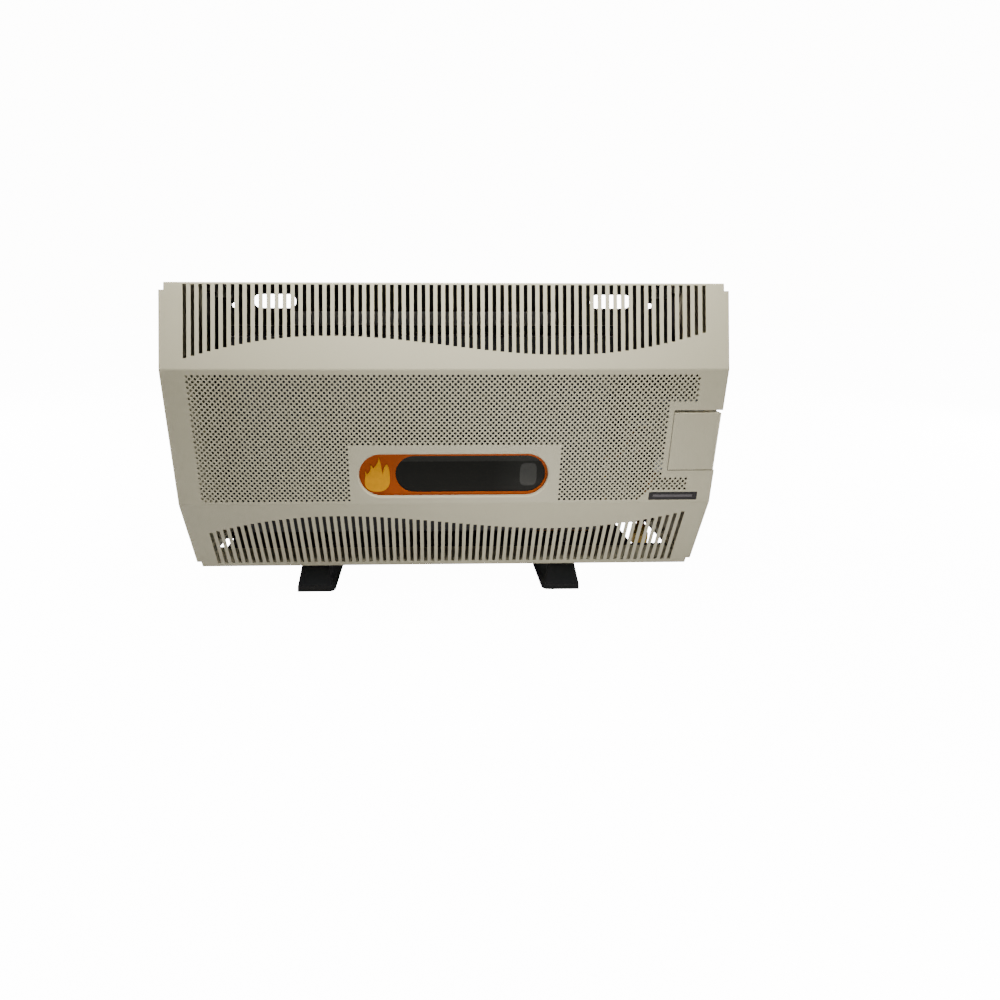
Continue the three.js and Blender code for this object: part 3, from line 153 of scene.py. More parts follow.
def makeStudio():
    bm = bmesh.new()
    bmesh.ops.create_grid(bm, x_segments=1, y_segments=1, size=air["floorSize"])
    floor = standIn("floor", bm)
    pale = bpy.data.materials.new("paleFloor")
    pale.use_nodes = True
    floor.data.materials.append(pale)

    # floor and air turn near white towards the camera only
    tree = pale.node_tree
    glow = tree.nodes.new("ShaderNodeLightPath").outputs["Is Camera Ray"]
    feed(tree, tree.nodes["Principled BSDF"].inputs, ("Base Color", (*[air["floorTone"]] * 3, 1)),
         ("Roughness", air["floorRoughness"]), ("Emission Color", glow),
         ("Emission Strength", air["floorGlow"]))

    world = bpy.data.worlds.new("studioAir")
    world.use_nodes = True
    tree = world.node_tree
    rays = tree.nodes.new("ShaderNodeLightPath").outputs
    mirrored = mathNode(tree, "MULTIPLY", rays["Is Glossy Ray"], air["mirror"])
    seen = mathNode(tree, "MULTIPLY", rays["Is Camera Ray"], air["backdrop"])
    level = mathNode(tree, "ADD", mathNode(tree, "ADD", mirrored, seen), air["fill"])
    feed(tree, tree.nodes["Background"].inputs, ("Strength", level), ("Color", (*air["color"], 1)))
    bpy.context.scene.world = world


def makeLights():
    for name, values in softLights.items():
        data = bpy.data.lights.new(name, "AREA")
        data.size = values["size"]
        data.energy = values["power"]
        data.color = air["lampColor"]
        lamp = bpy.data.objects.new(name, data)
        lamp.location = values["place"]
        aim = Vector(values["aim"]) - Vector(values["place"])
        lamp.rotation_mode = "QUATERNION"
        lamp.rotation_quaternion = aim.to_track_quat("-Z", "Y")
        lamp.visible_camera = lamp.visible_glossy = False
        bpy.context.scene.collection.objects.link(lamp)


makeCamera()
makeStudio()
makeLights()
print("camera, floor and lights are set")


def newGroup(name, inputs, outputs):
    group = bpy.data.node_groups.new(name, "ShaderNodeTree")
    for way, labels in (("INPUT", inputs), ("OUTPUT", outputs)):
        for label in labels:
            kind = "NodeSocketColor" if label == "Color" else "NodeSocketFloat"
            group.interface.new_socket(name=label, in_out=way, socket_type=kind)
    return group, group.nodes.new("NodeGroupInput").outputs, group.nodes.new("NodeGroupOutput").inputs


def objectPlace(tree):
    return tree.nodes.new("ShaderNodeTexCoord").outputs["Object"]


def noiseNode(tree, vector, scale, detail=3):
    node = tree.nodes.new("ShaderNodeTexNoise")
    feed(tree, node.inputs, ("Vector", vector), ("Scale", scale), ("Detail", detail))
    return node.outputs["Fac"]


def makeSurfaceTone():
    # cloudy tone, fine grain and roughness drift, shared by every finish
    labels = ("Color", "Tone Spread", "Cloud Scale", "Grain Scale", "Grain Tone", "Roughness",
              "Roughness Spread")
    group, source, result = newGroup("surfaceTone", labels, ("Color", "Roughness", "Grain"))
    place = objectPlace(group)
    cloud = noiseNode(group, place, source["Cloud Scale"])
    grain = noiseNode(group, place, source["Grain Scale"], 2)

    def swing(noise, spread):
        return mathNode(group, "MULTIPLY", mathNode(group, "SUBTRACT", noise, 0.5), source[spread])

    shift = mathNode(group, "ADD", swing(cloud, "Tone Spread"), swing(grain, "Grain Tone"))
    scaled = group.nodes.new("ShaderNodeVectorMath")
    scaled.operation = "SCALE"
    feed(group, scaled.inputs, (0, source["Color"]), ("Scale", mathNode(group, "ADD", shift, 1.0)))
    rough = mathNode(group, "ADD", source["Roughness"], swing(cloud, "Roughness Spread"))
    feed(group, result, ("Color", scaled.outputs[0]), ("Roughness", rough), ("Grain", grain))
    return group


def makeDrawnGrain(stretch=0.02, scale=900):
    # lines drawn along X, as on rolled or brushed sheet
    group, _, result = newGroup("drawnGrain", (), ("Lines",))
    drawn = group.nodes.new("ShaderNodeVectorMath")
    drawn.operation = "MULTIPLY"
    feed(group, drawn.inputs, (0, objectPlace(group)), (1, (stretch, 1, 1)))
    feed(group, result, ("Lines", noiseNode(group, drawn.outputs[0], scale, 4)))
    return group


surfaceTone = makeSurfaceTone()
drawnGrain = makeDrawnGrain()


def makeFinish(name, color, roughness, metallic=0.0, toneSpread=0.08, cloudScale=9.0, grainScale=900.0,
               grainTone=0.03, roughSpread=0.1, bump=0.05, bumpDistance=0.0002, coat=0.0,
               coatRoughness=0.12, specular=0.5, lines=0.0):
    material = bpy.data.materials.new(name)
    material.use_nodes = True
    tree = material.node_tree
    tone = tree.nodes.new("ShaderNodeGroup")
    tone.node_tree = surfaceTone
    feed(tree, tone.inputs, ("Color", (*color, 1)), ("Tone Spread", toneSpread), ("Cloud Scale", cloudScale),
         ("Grain Scale", grainScale), ("Grain Tone", grainTone), ("Roughness", roughness),
         ("Roughness Spread", roughSpread))
    height = tone.outputs["Grain"]
    rough = tone.outputs["Roughness"]
    if lines:
        grain = tree.nodes.new("ShaderNodeGroup")
        grain.node_tree = drawnGrain
        shift = mathNode(tree, "MULTIPLY", mathNode(tree, "SUBTRACT", grain.outputs["Lines"], 0.5), lines)
        rough = mathNode(tree, "ADD", rough, shift)
        height = mathNode(tree, "ADD", height, grain.outputs["Lines"])
    relief = tree.nodes.new("ShaderNodeBump")
    feed(tree, relief.inputs, ("Strength", bump), ("Distance", bumpDistance), ("Height", height))
    feed(tree, tree.nodes["Principled BSDF"].inputs, ("Base Color", tone.outputs["Color"]),
         ("Roughness", rough), ("Normal", relief.outputs["Normal"]), ("Metallic", metallic),
         ("Coat Weight", coat), ("Coat Roughness", coatRoughness), ("Specular IOR Level", specular))
    return material


finishes = {
    "cover_paint": makeFinish("creamSatinPaint", (0.5, 0.47, 0.34), 0.42, toneSpread=0.09, cloudScale=7,
                              grainScale=700, grainTone=0.05, roughSpread=0.12, bump=0.12, coat=0.05),
    "orange_enamel": makeFinish("burntOrangeEnamel", (0.34, 0.06, 0.001), 0.4, toneSpread=0.12,
                                cloudScale=20, grainScale=1500, bump=0.03, specular=0.12),
    "flame_print": makeFinish("amberPrint", (0.66, 0.29, 0.001), 0.5, toneSpread=0.35, cloudScale=160,
                              grainScale=2000, bump=0.03, specular=0.1),
    "badge_black": makeFinish("blackAnodised", (0.035, 0.032, 0.034), 0.35, metallic=0.5, lines=0.25,
                              toneSpread=0.12, cloudScale=60, bump=0.06),
    "zinc_plate": makeFinish("dullZincSheet", (0.42, 0.43, 0.44), 0.42, metallic=0.9, toneSpread=0.25,
                             cloudScale=55, grainScale=500, grainTone=0.1, roughSpread=0.25, bump=0.06),
    "bare_steel": makeFinish("plainSteel", (0.36, 0.36, 0.37), 0.36, metallic=1.0, toneSpread=0.15,
                             cloudScale=40, lines=0.2, bump=0.06),
    "black_enamel": makeFinish("mattBlackEnamel", (0.022, 0.022, 0.024), 0.55, toneSpread=0.3,
                               cloudScale=30, bump=0.15),
    "aluminised_steel": makeFinish("aluminisedSheet", (0.5, 0.51, 0.52), 0.4, metallic=0.95,
                                   toneSpread=0.2, cloudScale=80, grainTone=0.12, lines=0.15),
    "stainless": makeFinish("stainlessSheet", (0.44, 0.42, 0.4), 0.3, metallic=1.0, toneSpread=0.12,
                            cloudScale=30, lines=0.25),
    "brass": makeFinish("turnedBrass", (0.58, 0.4, 0.13), 0.28, metallic=1.0, toneSpread=0.15,
                        cloudScale=90, lines=0.12, bump=0.04),
    "copper": makeFinish("drawnCopper", (0.56, 0.25, 0.12), 0.3, metallic=1.0, toneSpread=0.3,
                         cloudScale=50, roughSpread=0.25, bump=0.04),
    "cast_alloy": makeFinish("dieCastAlloy", (0.42, 0.43, 0.44), 0.5, metallic=0.85, toneSpread=0.15,
                             cloudScale=40, grainScale=1100, grainTone=0.15, bump=0.2),
    "black_plastic": makeFinish("mouldedBlack", (0.009, 0.0092, 0.0102), 0.5, toneSpread=0.25, specular=0.3,
                                cloudScale=25, grainScale=1600, grainTone=0.15, bump=0.22),
    "red_plastic": makeFinish("mouldedRed", (0.3, 0.02, 0.012), 0.36, toneSpread=0.12, cloudScale=50,
                              grainScale=1500, bump=0.08),
    "ceramic": makeFinish("glazedInsulator", (0.74, 0.71, 0.64), 0.2, toneSpread=0.05, cloudScale=60,
                          grainScale=700, bump=0.02, coat=0.4),
    "fibre_seal": makeFinish("pressedFibre", (0.52, 0.49, 0.41), 0.95, toneSpread=0.25, cloudScale=120,
                             grainScale=1300, grainTone=0.35, bump=0.7, bumpDistance=0.0005),
    "silicone_lead": makeFinish("darkSilicone", (0.06, 0.03, 0.026), 0.5, toneSpread=0.12,
                                cloudScale=60, grainScale=1200, bump=0.1),
}


def makeClearGlass():
    material = makeFinish("heatGlass", (0.62, 0.66, 0.62), 0.08, toneSpread=0.05, grainTone=0.0, bump=0.0)
    shader = material.node_tree.nodes["Principled BSDF"]
    shader.inputs["Transmission Weight"].default_value = 0.9
    return material


def objectAxes(tree):
    axes = tree.nodes.new("ShaderNodeSeparateXYZ")
    feed(tree, axes.inputs, (0, objectPlace(tree)))
    return axes.outputs


def ramp(tree, value, low, high, top=1.0):
    # nothing at low, top at high, straight between
    node = tree.nodes.new("ShaderNodeMapRange")
    feed(tree, node.inputs, ("Value", value), ("From Min", low), ("From Max", high), ("To Max", top))
    return node.outputs["Result"]


def tintBase(material, share, color):
    # lays another colour over the finish's own, by the share
    tree = material.node_tree
    inputs = tree.nodes["Principled BSDF"].inputs
    own = inputs["Base Color"].links[0].from_socket
    mix = tree.nodes.new("ShaderNodeMix")
    mix.data_type = "RGBA"
    feed(tree, mix.inputs, ("Factor", share), ("A", own), ("B", (*color, 1)))
    feed(tree, inputs, ("Base Color", mix.outputs["Result"]))


# the pane's own dark tint, and a painted reflection on it: a grey band, a grey patch and a paler right end
smoke = {
    "dark": (0.0075, 0.0075, 0.006),
    "paintedReflection": (0.05, 0.05, 0.047),
    "bandFrom": 196.8,
    "bandSoft": 0.8,
    "bandShare": 0.35,
    "patch": (110.0, 178.0),
    "patchReach": (11.5, 16.0),
    "patchPower": 4,
    "patchSoft": 0.25,
    "paleFrom": 62.0,
    "paleTo": 98.0,
    "paleShare": 0.16,
}


def makeSmokedGlass():
    # painted reflection: greyer in a band under the top edge, at the right end and in one patch
    material = makeFinish("smokedGlass", smoke["dark"], 0.07, toneSpread=0.1, cloudScale=14,
                          grainTone=0.0, roughSpread=0.03, bump=0.0, specular=0.15)
    tree = material.node_tree
    axes = objectAxes(tree)
    edge, soft = smoke["bandFrom"], smoke["bandSoft"]
    band = ramp(tree, axes["Z"], (edge - soft) * mm, (edge + soft) * mm, smoke["bandShare"])
    shares = []
    for axis, centre, reach in zip("XZ", smoke["patch"], smoke["patchReach"]):
        away = mathNode(tree, "DIVIDE", mathNode(tree, "SUBTRACT", axes[axis], centre * mm), reach * mm)
        shares.append(mathNode(tree, "POWER", mathNode(tree, "ABSOLUTE", away), smoke["patchPower"]))
    patch = ramp(tree, mathNode(tree, "ADD", *shares), 1 + smoke["patchSoft"], 1 - smoke["patchSoft"])
    pale = ramp(tree, axes["X"], smoke["paleFrom"] * mm, smoke["paleTo"] * mm, smoke["paleShare"])
    # the painted reflection is laid over the dark glass
    paintedReflection = mathNode(tree, "MAXIMUM", mathNode(tree, "ADD", band, pale), patch)
    tintBase(material, paintedReflection, smoke["paintedReflection"])
    return material


outerZinc = {
    "color": (0.36, 0.37, 0.38),
    "from": 99.4,
    "to": 99.7,
}


def makeSootyZinc():
    # painted shade: dark on the inside of the casing, where it lies in shade, plain zinc on the face against
    # the wall
    material = makeFinish("sootyZincSheet", (0.085, 0.08, 0.072), 0.55, metallic=0.4, toneSpread=0.4,
                          cloudScale=25, grainScale=500, grainTone=0.15, roughSpread=0.2, bump=0.06)
    tree = material.node_tree
    outer = ramp(tree, objectAxes(tree)["Y"], outerZinc["from"] * mm, outerZinc["to"] * mm)
    tintBase(material, outer, outerZinc["color"])
    return material


finishes["dark_glass"] = makeSmokedGlass()
finishes["sootyZinc"] = makeSootyZinc()
finishes["clear_glass"] = makeClearGlass()
finishes["badgeSatin"] = makeFinish("badgeSatin", (0.16, 0.15, 0.16), 0.38, metallic=0.7, toneSpread=0.3,
                                    cloudScale=220, lines=0.2, bump=0.04)
print("finishes made:", len(finishes))


shading = {
    "smoothAngle": 32,
    "leastBend": 0.02,
    "areaRatio": 5,
}
# in mm: the reach that joins touching vertices, and a length far below any real size
weld = 0.002
hair = 0.01
upright = Matrix.Rotation(math.radians(90), 4, "X")


def nodeBox(node):
    return [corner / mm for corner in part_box(node)]


def isFlat(face):
    # much larger than every face that it would be smoothed into
    bent = (edge for edge in face.edges if edge.smooth and edge.calc_face_angle(0) > shading["leastBend"])
    beside = [other.calc_area() for edge in bent for other in edge.link_faces if other != face]
    return not beside or face.calc_area() > shading["areaRatio"] * max(beside)


def addPiece(name, bm, slot, body="root", replaced=(), smoothAngle=shading["smoothAngle"], material=None):
    for edge in bm.edges:
        edge.smooth = len(edge.link_faces) == 2 and edge.calc_face_angle(0) < math.radians(smoothAngle)
    for face in bm.faces:
        face.smooth = not isFlat(face)
    piece = standIn(name, bm)
    piece.data.materials.append(material or finishes[slot])
    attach(piece, body)
    if replaced:
        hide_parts(*replaced)


def remakeNode(name, bm, node, **options):
    addPiece(name, bm, slotOf[node], bodyOf[node], (node,), **options)


def boxInto(bm, low, high):
    low, high = Vector(low) * mm, Vector(high) * mm
    made = bmesh.ops.create_cube(bm, size=1)
    bmesh.ops.scale(bm, vec=high - low, verts=made["verts"])
    bmesh.ops.translate(bm, vec=(low + high) / 2, verts=made["verts"])


def newBox(low, high):
    bm = bmesh.new()
    boxInto(bm, low, high)
    return bm


def turnedBox(bm, place, size):
    bmesh.ops.create_cube(bm, size=1, matrix=place @ Matrix.Diagonal((*(Vector(size) * mm), 1)))


def bevelEdges(bm, edges, width, segments=2):
    bmesh.ops.bevel(bm, geom=edges, offset=width * mm, offset_type="OFFSET", affect="EDGES",
                    segments=segments, profile=0.5, material=-1, clamp_overlap=True)


def easeEdges(bm, width, segments=2, angle=50):
    # rounds every edge that is sharper than the angle
    sharp = [edge for edge in bm.edges
             if len(edge.link_faces) == 2 and edge.calc_face_angle(0) > math.radians(angle)]
    bevelEdges(bm, sharp, width, segments)


def closeUp(bm, reach=weld):
    bmesh.ops.remove_doubles(bm, verts=bm.verts, dist=reach * mm)
    bmesh.ops.recalc_face_normals(bm, faces=bm.faces)


def vertsIn(geometry):
    return [item for item in geometry if isinstance(item, bmesh.types.BMVert)]


def edgesIn(geometry):
    return [item for item in geometry if isinstance(item, bmesh.types.BMEdge)]


def carve(target, cutter, operation="DIFFERENCE"):
    # both meshes go in and one comes out
    holders = standIn("carveTarget", target), standIn("carveCutter", cutter)
    step = holders[0].modifiers.new("carve", "BOOLEAN")
    step.operation = operation
    step.solver = "EXACT"
    step.object = holders[1]
    return applied(*holders)


def cutBox(target, low, high):
    return carve(target, newBox(low, high))


def thicken(skin, thickness):
    # gives an open skin its wall on the side away from its normals
    holder = standIn("skin", skin)
    step = holder.modifiers.new("wall", "SOLIDIFY")
    step.thickness = thickness * mm
    step.offset = -1
    step.use_even_offset = True
    return applied(holder)


def curveMesh(curve):
    # the curve's mesh, the curve itself removed
    holder = bpy.data.objects.new(curve.name, curve)
    mesh = bpy.data.meshes.new_from_object(holder)
    bpy.data.objects.remove(holder)
    bpy.data.curves.remove(curve)
    return mesh


def gather(*parts):
    whole = bmesh.new()
    for part in parts:
        pour(whole, stored("part", part))
    return whole


def lathe(profile, place, axis, steps=32):
    # the profile holds (distance along the axis, radius) from one end to the other
    bm = bmesh.new()
    turn = Vector((0, 0, 1)).rotation_difference(Vector(axis)).to_matrix()
    centre = Vector(place) * mm
    chain = [bm.verts.new(centre + turn @ Vector((radius, 0, along)) * mm) for along, radius in profile]
    edges = [bm.edges.new(pair) for pair in zip(chain, chain[1:])]
    bmesh.ops.spin(bm, geom=chain + edges, cent=centre, axis=axis, angle=math.tau, steps=steps,
                   use_merge=True)
    closeUp(bm)
    return bm


def dressNode(node, bevel=0.0, smoothAngle=38):
    # a finer copy of a CAD solid: merged, its edges eased, shaded smooth
    bm = bmesh.new()
    bm.from_mesh(frame["nodes"][node].data)
    bmesh.ops.remove_doubles(bm, verts=bm.verts, dist=hair / 2 * mm)
    bmesh.ops.dissolve_limit(bm, angle_limit=math.radians(1), verts=bm.verts, edges=bm.edges)
    if bevel:
        easeEdges(bm, bevel, angle=40)
    # the back frame takes the zinc with painted shade on its inside
    finish = finishes["sootyZinc"] if node == "back_frame" else None
    remakeNode(node + "Dressed", bm, node, smoothAngle=smoothAngle, material=finish)


def capsuleParts(outline):
    # radius, the two centres along X, height of the middle
    left, right, low, high = outline
    radius = (high - low) / 2
    return radius, (left + radius, right - radius), (low + high) / 2


def circleIn(bm, place, radius, steps):
    # a circle facing along Y, turned half a step so that no vertex lies at its top
    at = Matrix.Translation(Vector(place) * mm) @ upright @ Matrix.Rotation(math.pi / steps, 4, "Z")
    return bmesh.ops.create_circle(bm, cap_ends=False, radius=radius * mm, segments=steps, matrix=at)["verts"]


def edgesOf(verts):
    return list({edge for vert in verts for edge in vert.link_edges})


def capsuleRing(bm, outline, y, steps=64):
    # a circle pulled apart at its middle
    radius, ends, middle = capsuleParts(outline)
    ring = circleIn(bm, (ends[0], y, middle), radius, steps)
    far = [vert for vert in ring if vert.co.x > ends[0] * mm]
    bmesh.ops.translate(bm, vec=((ends[1] - ends[0]) * mm, 0, 0), verts=far)
    return edgesOf(ring)


def capsuleLoft(sections, closed=False):
    # a ring extruded from one section (outline, depth) to the next, then capped or joined up
    bm = bmesh.new()
    outline, y = sections[0]
    ring = capsuleRing(bm, outline, y)
    rims = [ring]
    for nextOutline, nextY in sections[1:] + (sections[:1] if closed else []):
        made = bmesh.ops.extrude_edge_only(bm, edges=ring)["geom"]
        moved = set(vertsIn(made))
        _, ends, middle = capsuleParts(outline)
        nextRadius, nextEnds, nextMiddle = capsuleParts(nextOutline)
        for vert in moved:
            end = int(vert.co.x > (ends[0] + ends[1]) / 2 * mm)
            spoke = Vector((vert.co.x - ends[end] * mm, 0, vert.co.z - middle * mm)).normalized()
            vert.co = (Vector((nextEnds[end], nextY, nextMiddle)) + spoke * nextRadius) * mm
        ring = [edge for edge in edgesIn(made) if moved.issuperset(edge.verts)]
        rims.append(ring)
        outline = nextOutline
    if closed:
        bmesh.ops.remove_doubles(bm, verts=bm.verts, dist=hair / 2 * mm)
    else:
        for rim in (rims[0], rims[-1]):
            bmesh.ops.contextual_create(bm, geom=rim)
    bmesh.ops.recalc_face_normals(bm, faces=bm.faces)
    return bm


cover = {
    "foldRadius": 1.6,
    "leastFold": 0.5,
    "sheet": 1.0,
    "sideBend": 6.0,
    "cornerInset": 7.0,
    "cornerStep": 9.2,
    "upperSlope": (33.6, 104.2),
    "lowerSlope": (32.6, 108.2),
    "bottomReturn": 60.0,
    "slotWidth": 5.0,
    "slotCut": 8.0,
    "slotPitch": 9.91,
    "slotSideMargin": 32.5,
    "upperSlotMargin": 2.6,
    "upperSlotEnd": 79.2,
    "lowerSlotStart": 32.4,
    "lowerSlotMargin": 7.6,
    "waveHeight": 12.0,
    "waveCrest": 150.0,
    "waveShoulderRadius": 557.0,
}
coverLow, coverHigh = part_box("front_cover")
front = coverLow.y / mm
side = coverHigh.x / mm
rear = coverHigh.y / mm
crown = coverHigh.z / mm
underside = coverLow.z / mm
upperBack, upperRise = cover["upperSlope"]
lowerBack, lowerRise = cover["lowerSlope"]
upperLength = math.hypot(upperBack, upperRise)
lowerLength = math.hypot(lowerBack, lowerRise)
lowerBend = underside + lowerRise
upperBend = crown - upperRise
# how far cutters reach past the casing and past a single sheet, and the gap between touching pieces
past = 20.0
through = 5.0
touchGap = 0.3


def casingOutline(inset):
    top, bottom = crown - inset, underside + inset
    upperTan = math.tan(math.atan2(upperBack, upperRise) / 2)
    lowerTan = math.tan(math.atan2(lowerBack, lowerRise) / 2)
    upperY = front + (top - upperBend) * upperBack / upperRise + inset * upperLength / upperRise
    lowerY = front + (lowerBend - bottom) * lowerBack / lowerRise + inset * lowerLength / lowerRise
    back = rear + past * (1 + inset)
    return [(back, top), (upperY, top), (front + inset, upperBend - upperTan * inset),
            (front + inset, lowerBend + lowerTan * inset), (lowerY, bottom), (back, bottom)]


def casingSolid(inset, halfWidth, cornerRadius):
    bm = bmesh.new()
    width = halfWidth - inset
    ring = [bm.verts.new((-width * mm, y * mm, z * mm)) for y, z in casingOutline(inset)]
    cap = bm.faces.new(ring)
    made = bmesh.ops.extrude_face_region(bm, geom=[cap])
    bmesh.ops.translate(bm, vec=(2 * width * mm, 0, 0), verts=vertsIn(made["geom"]))
    bmesh.ops.recalc_face_normals(bm, faces=bm.faces)
    foldEdges = [edge for edge in bm.edges
                 if abs(edge.verts[0].co.x - edge.verts[1].co.x) > width * mm
                 and edge.verts[0].co.y < rear * mm]
    bevelEdges(bm, foldEdges, max(cover["foldRadius"] - inset, cover["leastFold"]), 4)
    if cornerRadius > inset:
        ends = [edge for edge in bm.edges
                if abs(edge.verts[0].co.x - edge.verts[1].co.x) < hair * mm]
        bevelEdges(bm, ends, cornerRadius - inset, 8)
    return bm


def casingBody(inset):
    # the whole box, less a notch at each end of the crown and of the underside
    solid = casingSolid(inset, side, cover["sideBend"])
    notches = bmesh.new()
    near, far = side - cover["cornerInset"] - inset, side + past
    step = cover["cornerStep"] + inset
    for low, high in ((-past, underside + step), (crown - step, crown + past)):
        for left, right in ((-far, -near), (near, far)):
            boxInto(notches, (left, front - past, low), (right, rear + 3 * past, high))
    return carve(solid, notches)


def wave(x):
    if abs(x) <= cover["waveCrest"]:
        return cover["waveHeight"] * math.sin(math.pi * x / (2 * cover["waveCrest"]))
    fall = (abs(x) - cover["waveCrest"]) ** 2 / (2 * cover["waveShoulderRadius"])
    return math.copysign(1, x) * (cover["waveHeight"] - fall)


def slotCutters():
    bm = bmesh.new()
    count = math.floor((side - cover["slotSideMargin"]) / cover["slotPitch"])
    for index in range(-count, count + 1):
        x = index * cover["slotPitch"]
        upper = (cover["upperSlotMargin"], cover["upperSlotEnd"] + wave(x))
        lower = (cover["lowerSlotStart"] + wave(x), lowerLength - cover["lowerSlotMargin"])
        upperShare = sum(upper) / 2 / upperLength
        lowerShare = sum(lower) / 2 / lowerLength
        for span, tilt, place in (
                (upper, -math.atan2(upperBack, upperRise),
                 (x, front + upperBack * (1 - upperShare), crown - upperRise * upperShare)),
                (lower, math.atan2(lowerBack, lowerRise),
                 (x, front + lowerBack * lowerShare, lowerBend - lowerRise * lowerShare))):
            at = Matrix.Translation(Vector(place) * mm) @ Matrix.Rotation(tilt, 4, "X")
            turnedBox(bm, at, (cover["slotWidth"], cover["slotCut"], span[1] - span[0]))
    return bm


window = {
    "centre": 9.1,
    "length": 253.2,
    "height": 59.0,
    "drop": 111.1,
    "lipRadius": 2.0,
    "lipDepth": 6.7,
}
windowLeft = window["centre"] - window["length"] / 2
windowRight = window["centre"] + window["length"] / 2
windowTop = upperBend - window["drop"]
windowBottom = windowTop - window["height"]


def windowOutline(grow):
    return windowLeft - grow, windowRight + grow, windowBottom - grow, windowTop + grow


def windowPrism():
    outline = windowOutline(window["lipRadius"])
    return capsuleLoft([(outline, front - through), (outline, front + through)])


def windowLip():
    # the opening's rolled edge, turned in by a small radius
    radius, depth, sheet = window["lipRadius"], window["lipDepth"], cover["sheet"]
    steps = 5
    outer, inner = [], []
    for step in range(steps + 1):
        turn = math.radians(90 * step / steps)
        outer.append((radius * (1 - math.sin(turn)), front + radius * (1 - math.cos(turn))))
        small = radius - sheet
        inner.append((radius - small * math.sin(turn), front + radius - small * math.cos(turn)))
    section = outer + [(0, front + depth), (sheet, front + depth)] + inner[::-1]
    return capsuleLoft([(windowOutline(grow), y) for grow, y in section], closed=True)


door = {
    "left": 63.9,
    "drop": 52.8,
    "opening": 82.1,
    "seam": 1.0,
    "sideReturn": 17.0,
    "lip": 8.0,
    "edgeRadius": 1.5,
    "knuckleRadius": 2.4,
    "knuckleLength": 6.0,
    "leftKnuckle": 6.0,
    "rightKnuckle": 20.0,
    "pinBore": 1.5,
    "pinSlip": 0.1,
    "edgeEase": 0.2,
}
doorLow, doorHigh = nodeBox("control_door")
openingTop = upperBend - door["drop"]
openingBottom = openingTop - door["opening"]
badge = {
    "flange": 3.0,
    "slip": 0.4,
    "rim": 0.9,
    "recess": 0.4,
    "edgeEase": 0.12,
    "bandMargin": 5.5,
    "bandHeight": 3.6,
    "bandFront": 0.15,
    "bandSunk": 0.1,
    "bandEase": 0.06,
}
badgeLow, badgeHigh = nodeBox("badge_plate")

holeField = {
    "left": -330.0,
    "top": 6.5,
    "pitch": 7.09,
    "rows": 48,
    "hole": 3.8,
    "holeSides": 8,
    "notchLeft": 28.5,
    "notchRight": 67.5,
    "notchFrom": 26,
    "fullWidth": 92.5,
    "besideDoor": 87.5,
    "doorRows": (10, 39),
    "belowDoorRows": (39, 44),
    "chamfer": (85.5, 84.5, 84.5, 83.5),
}


def fieldRows():
    # for each row: its top and the spans of cells that it holds
    rowHeight = holeField["pitch"] / 2
    doorFirst, doorLast = holeField["doorRows"]
    chamferFirst = holeField["belowDoorRows"][1]
    for row in range(holeField["rows"]):
        if row < doorFirst or doorLast <= row < chamferFirst:
            last = holeField["fullWidth"]
        elif row < doorLast:
            last = holeField["besideDoor"]
        else:
            last = holeField["chamfer"][row - chamferFirst]
        top = upperBend - holeField["top"] - row * rowHeight
        if row >= holeField["notchFrom"]:
            yield top, ((0, holeField["notchLeft"]), (holeField["notchRight"], last))
        else:
            yield top, ((0, last),)


def fieldRuns():
    # one box for each span of cells, reaching up through every row that holds it
    rows = list(fieldRows())
    for left, right in sorted({span for _, spans in rows for span in spans}):
        last = max(index for index, (_, spans) in enumerate(rows) if (left, right) in spans)
        first = last
        while first > 0 and any(low <= left and right <= high for low, high in rows[first - 1][1]):
            first -= 1
        yield left, right, rows[first][0], rows[last][0] - holeField["pitch"] / 2


def fieldCell(hole):
    # one tile of the lattice: a brick with a round hole, or a plain half brick
    width, height = holeField["pitch"], holeField["pitch"] / 2
    if not hole:
        width /= 2
    sheetRear = front + cover["sheet"]
    bm = newBox((0, front, -height), (width, sheetRear, 0))
    walls = [face for face in bm.faces if abs(face.normal.y) < 0.5]
    bmesh.ops.delete(bm, geom=walls, context="FACES")
    if hole:
        level = [edge for edge in bm.edges if abs(edge.verts[0].co.z - edge.verts[1].co.z) < hair * mm]
        bmesh.ops.bisect_edges(bm, edges=level, cuts=1)
        plates = sorted(bm.faces, key=lambda face: face.calc_center_median().y)
        rims = [list(plate.edges) for plate in plates]
        bmesh.ops.delete(bm, geom=plates, context="FACES_ONLY")
        radius, sides = holeField["hole"] / 2, holeField["holeSides"]
        circles = [edgesOf(circleIn(bm, (width / 2, y, -height / 2), radius, sides))
                   for y in (front, sheetRear)]
        for rim, circle in zip(rims, circles):
            bmesh.ops.bridge_loops(bm, edges=rim + circle)
        bmesh.ops.bridge_loops(bm, edges=circles[0] + circles[1])
    return stored("fieldCell", bm)


def placeCell(bm, cell, x, top):
    tile = cell.copy()
    tile.transform(Matrix.Translation((x * mm, 0, top * mm)))
    pour(bm, tile)


def holeLattice():
    bm = bmesh.new()
    drilled, plain = fieldCell(True), fieldCell(False)
    pitch, left = holeField["pitch"], holeField["left"]
    for row, (top, spans) in enumerate(fieldRows()):
        for at, last in spans:
            while at < last:
                whole = (at - row / 2) % 1 == 0 and at + 1 <= last
                placeCell(bm, drilled if whole else plain, left + at * pitch, top)
                at += 1 if whole else 0.5
    bmesh.ops.remove_doubles(bm, verts=bm.verts, dist=hair * mm)
    rims = [edge for edge in bm.edges if edge.is_boundary]
    bmesh.ops.bridge_loops(bm, edges=rims)
    bmesh.ops.recalc_face_normals(bm, faces=bm.faces)
    bpy.data.meshes.remove(drilled)
    bpy.data.meshes.remove(plain)
    return bm


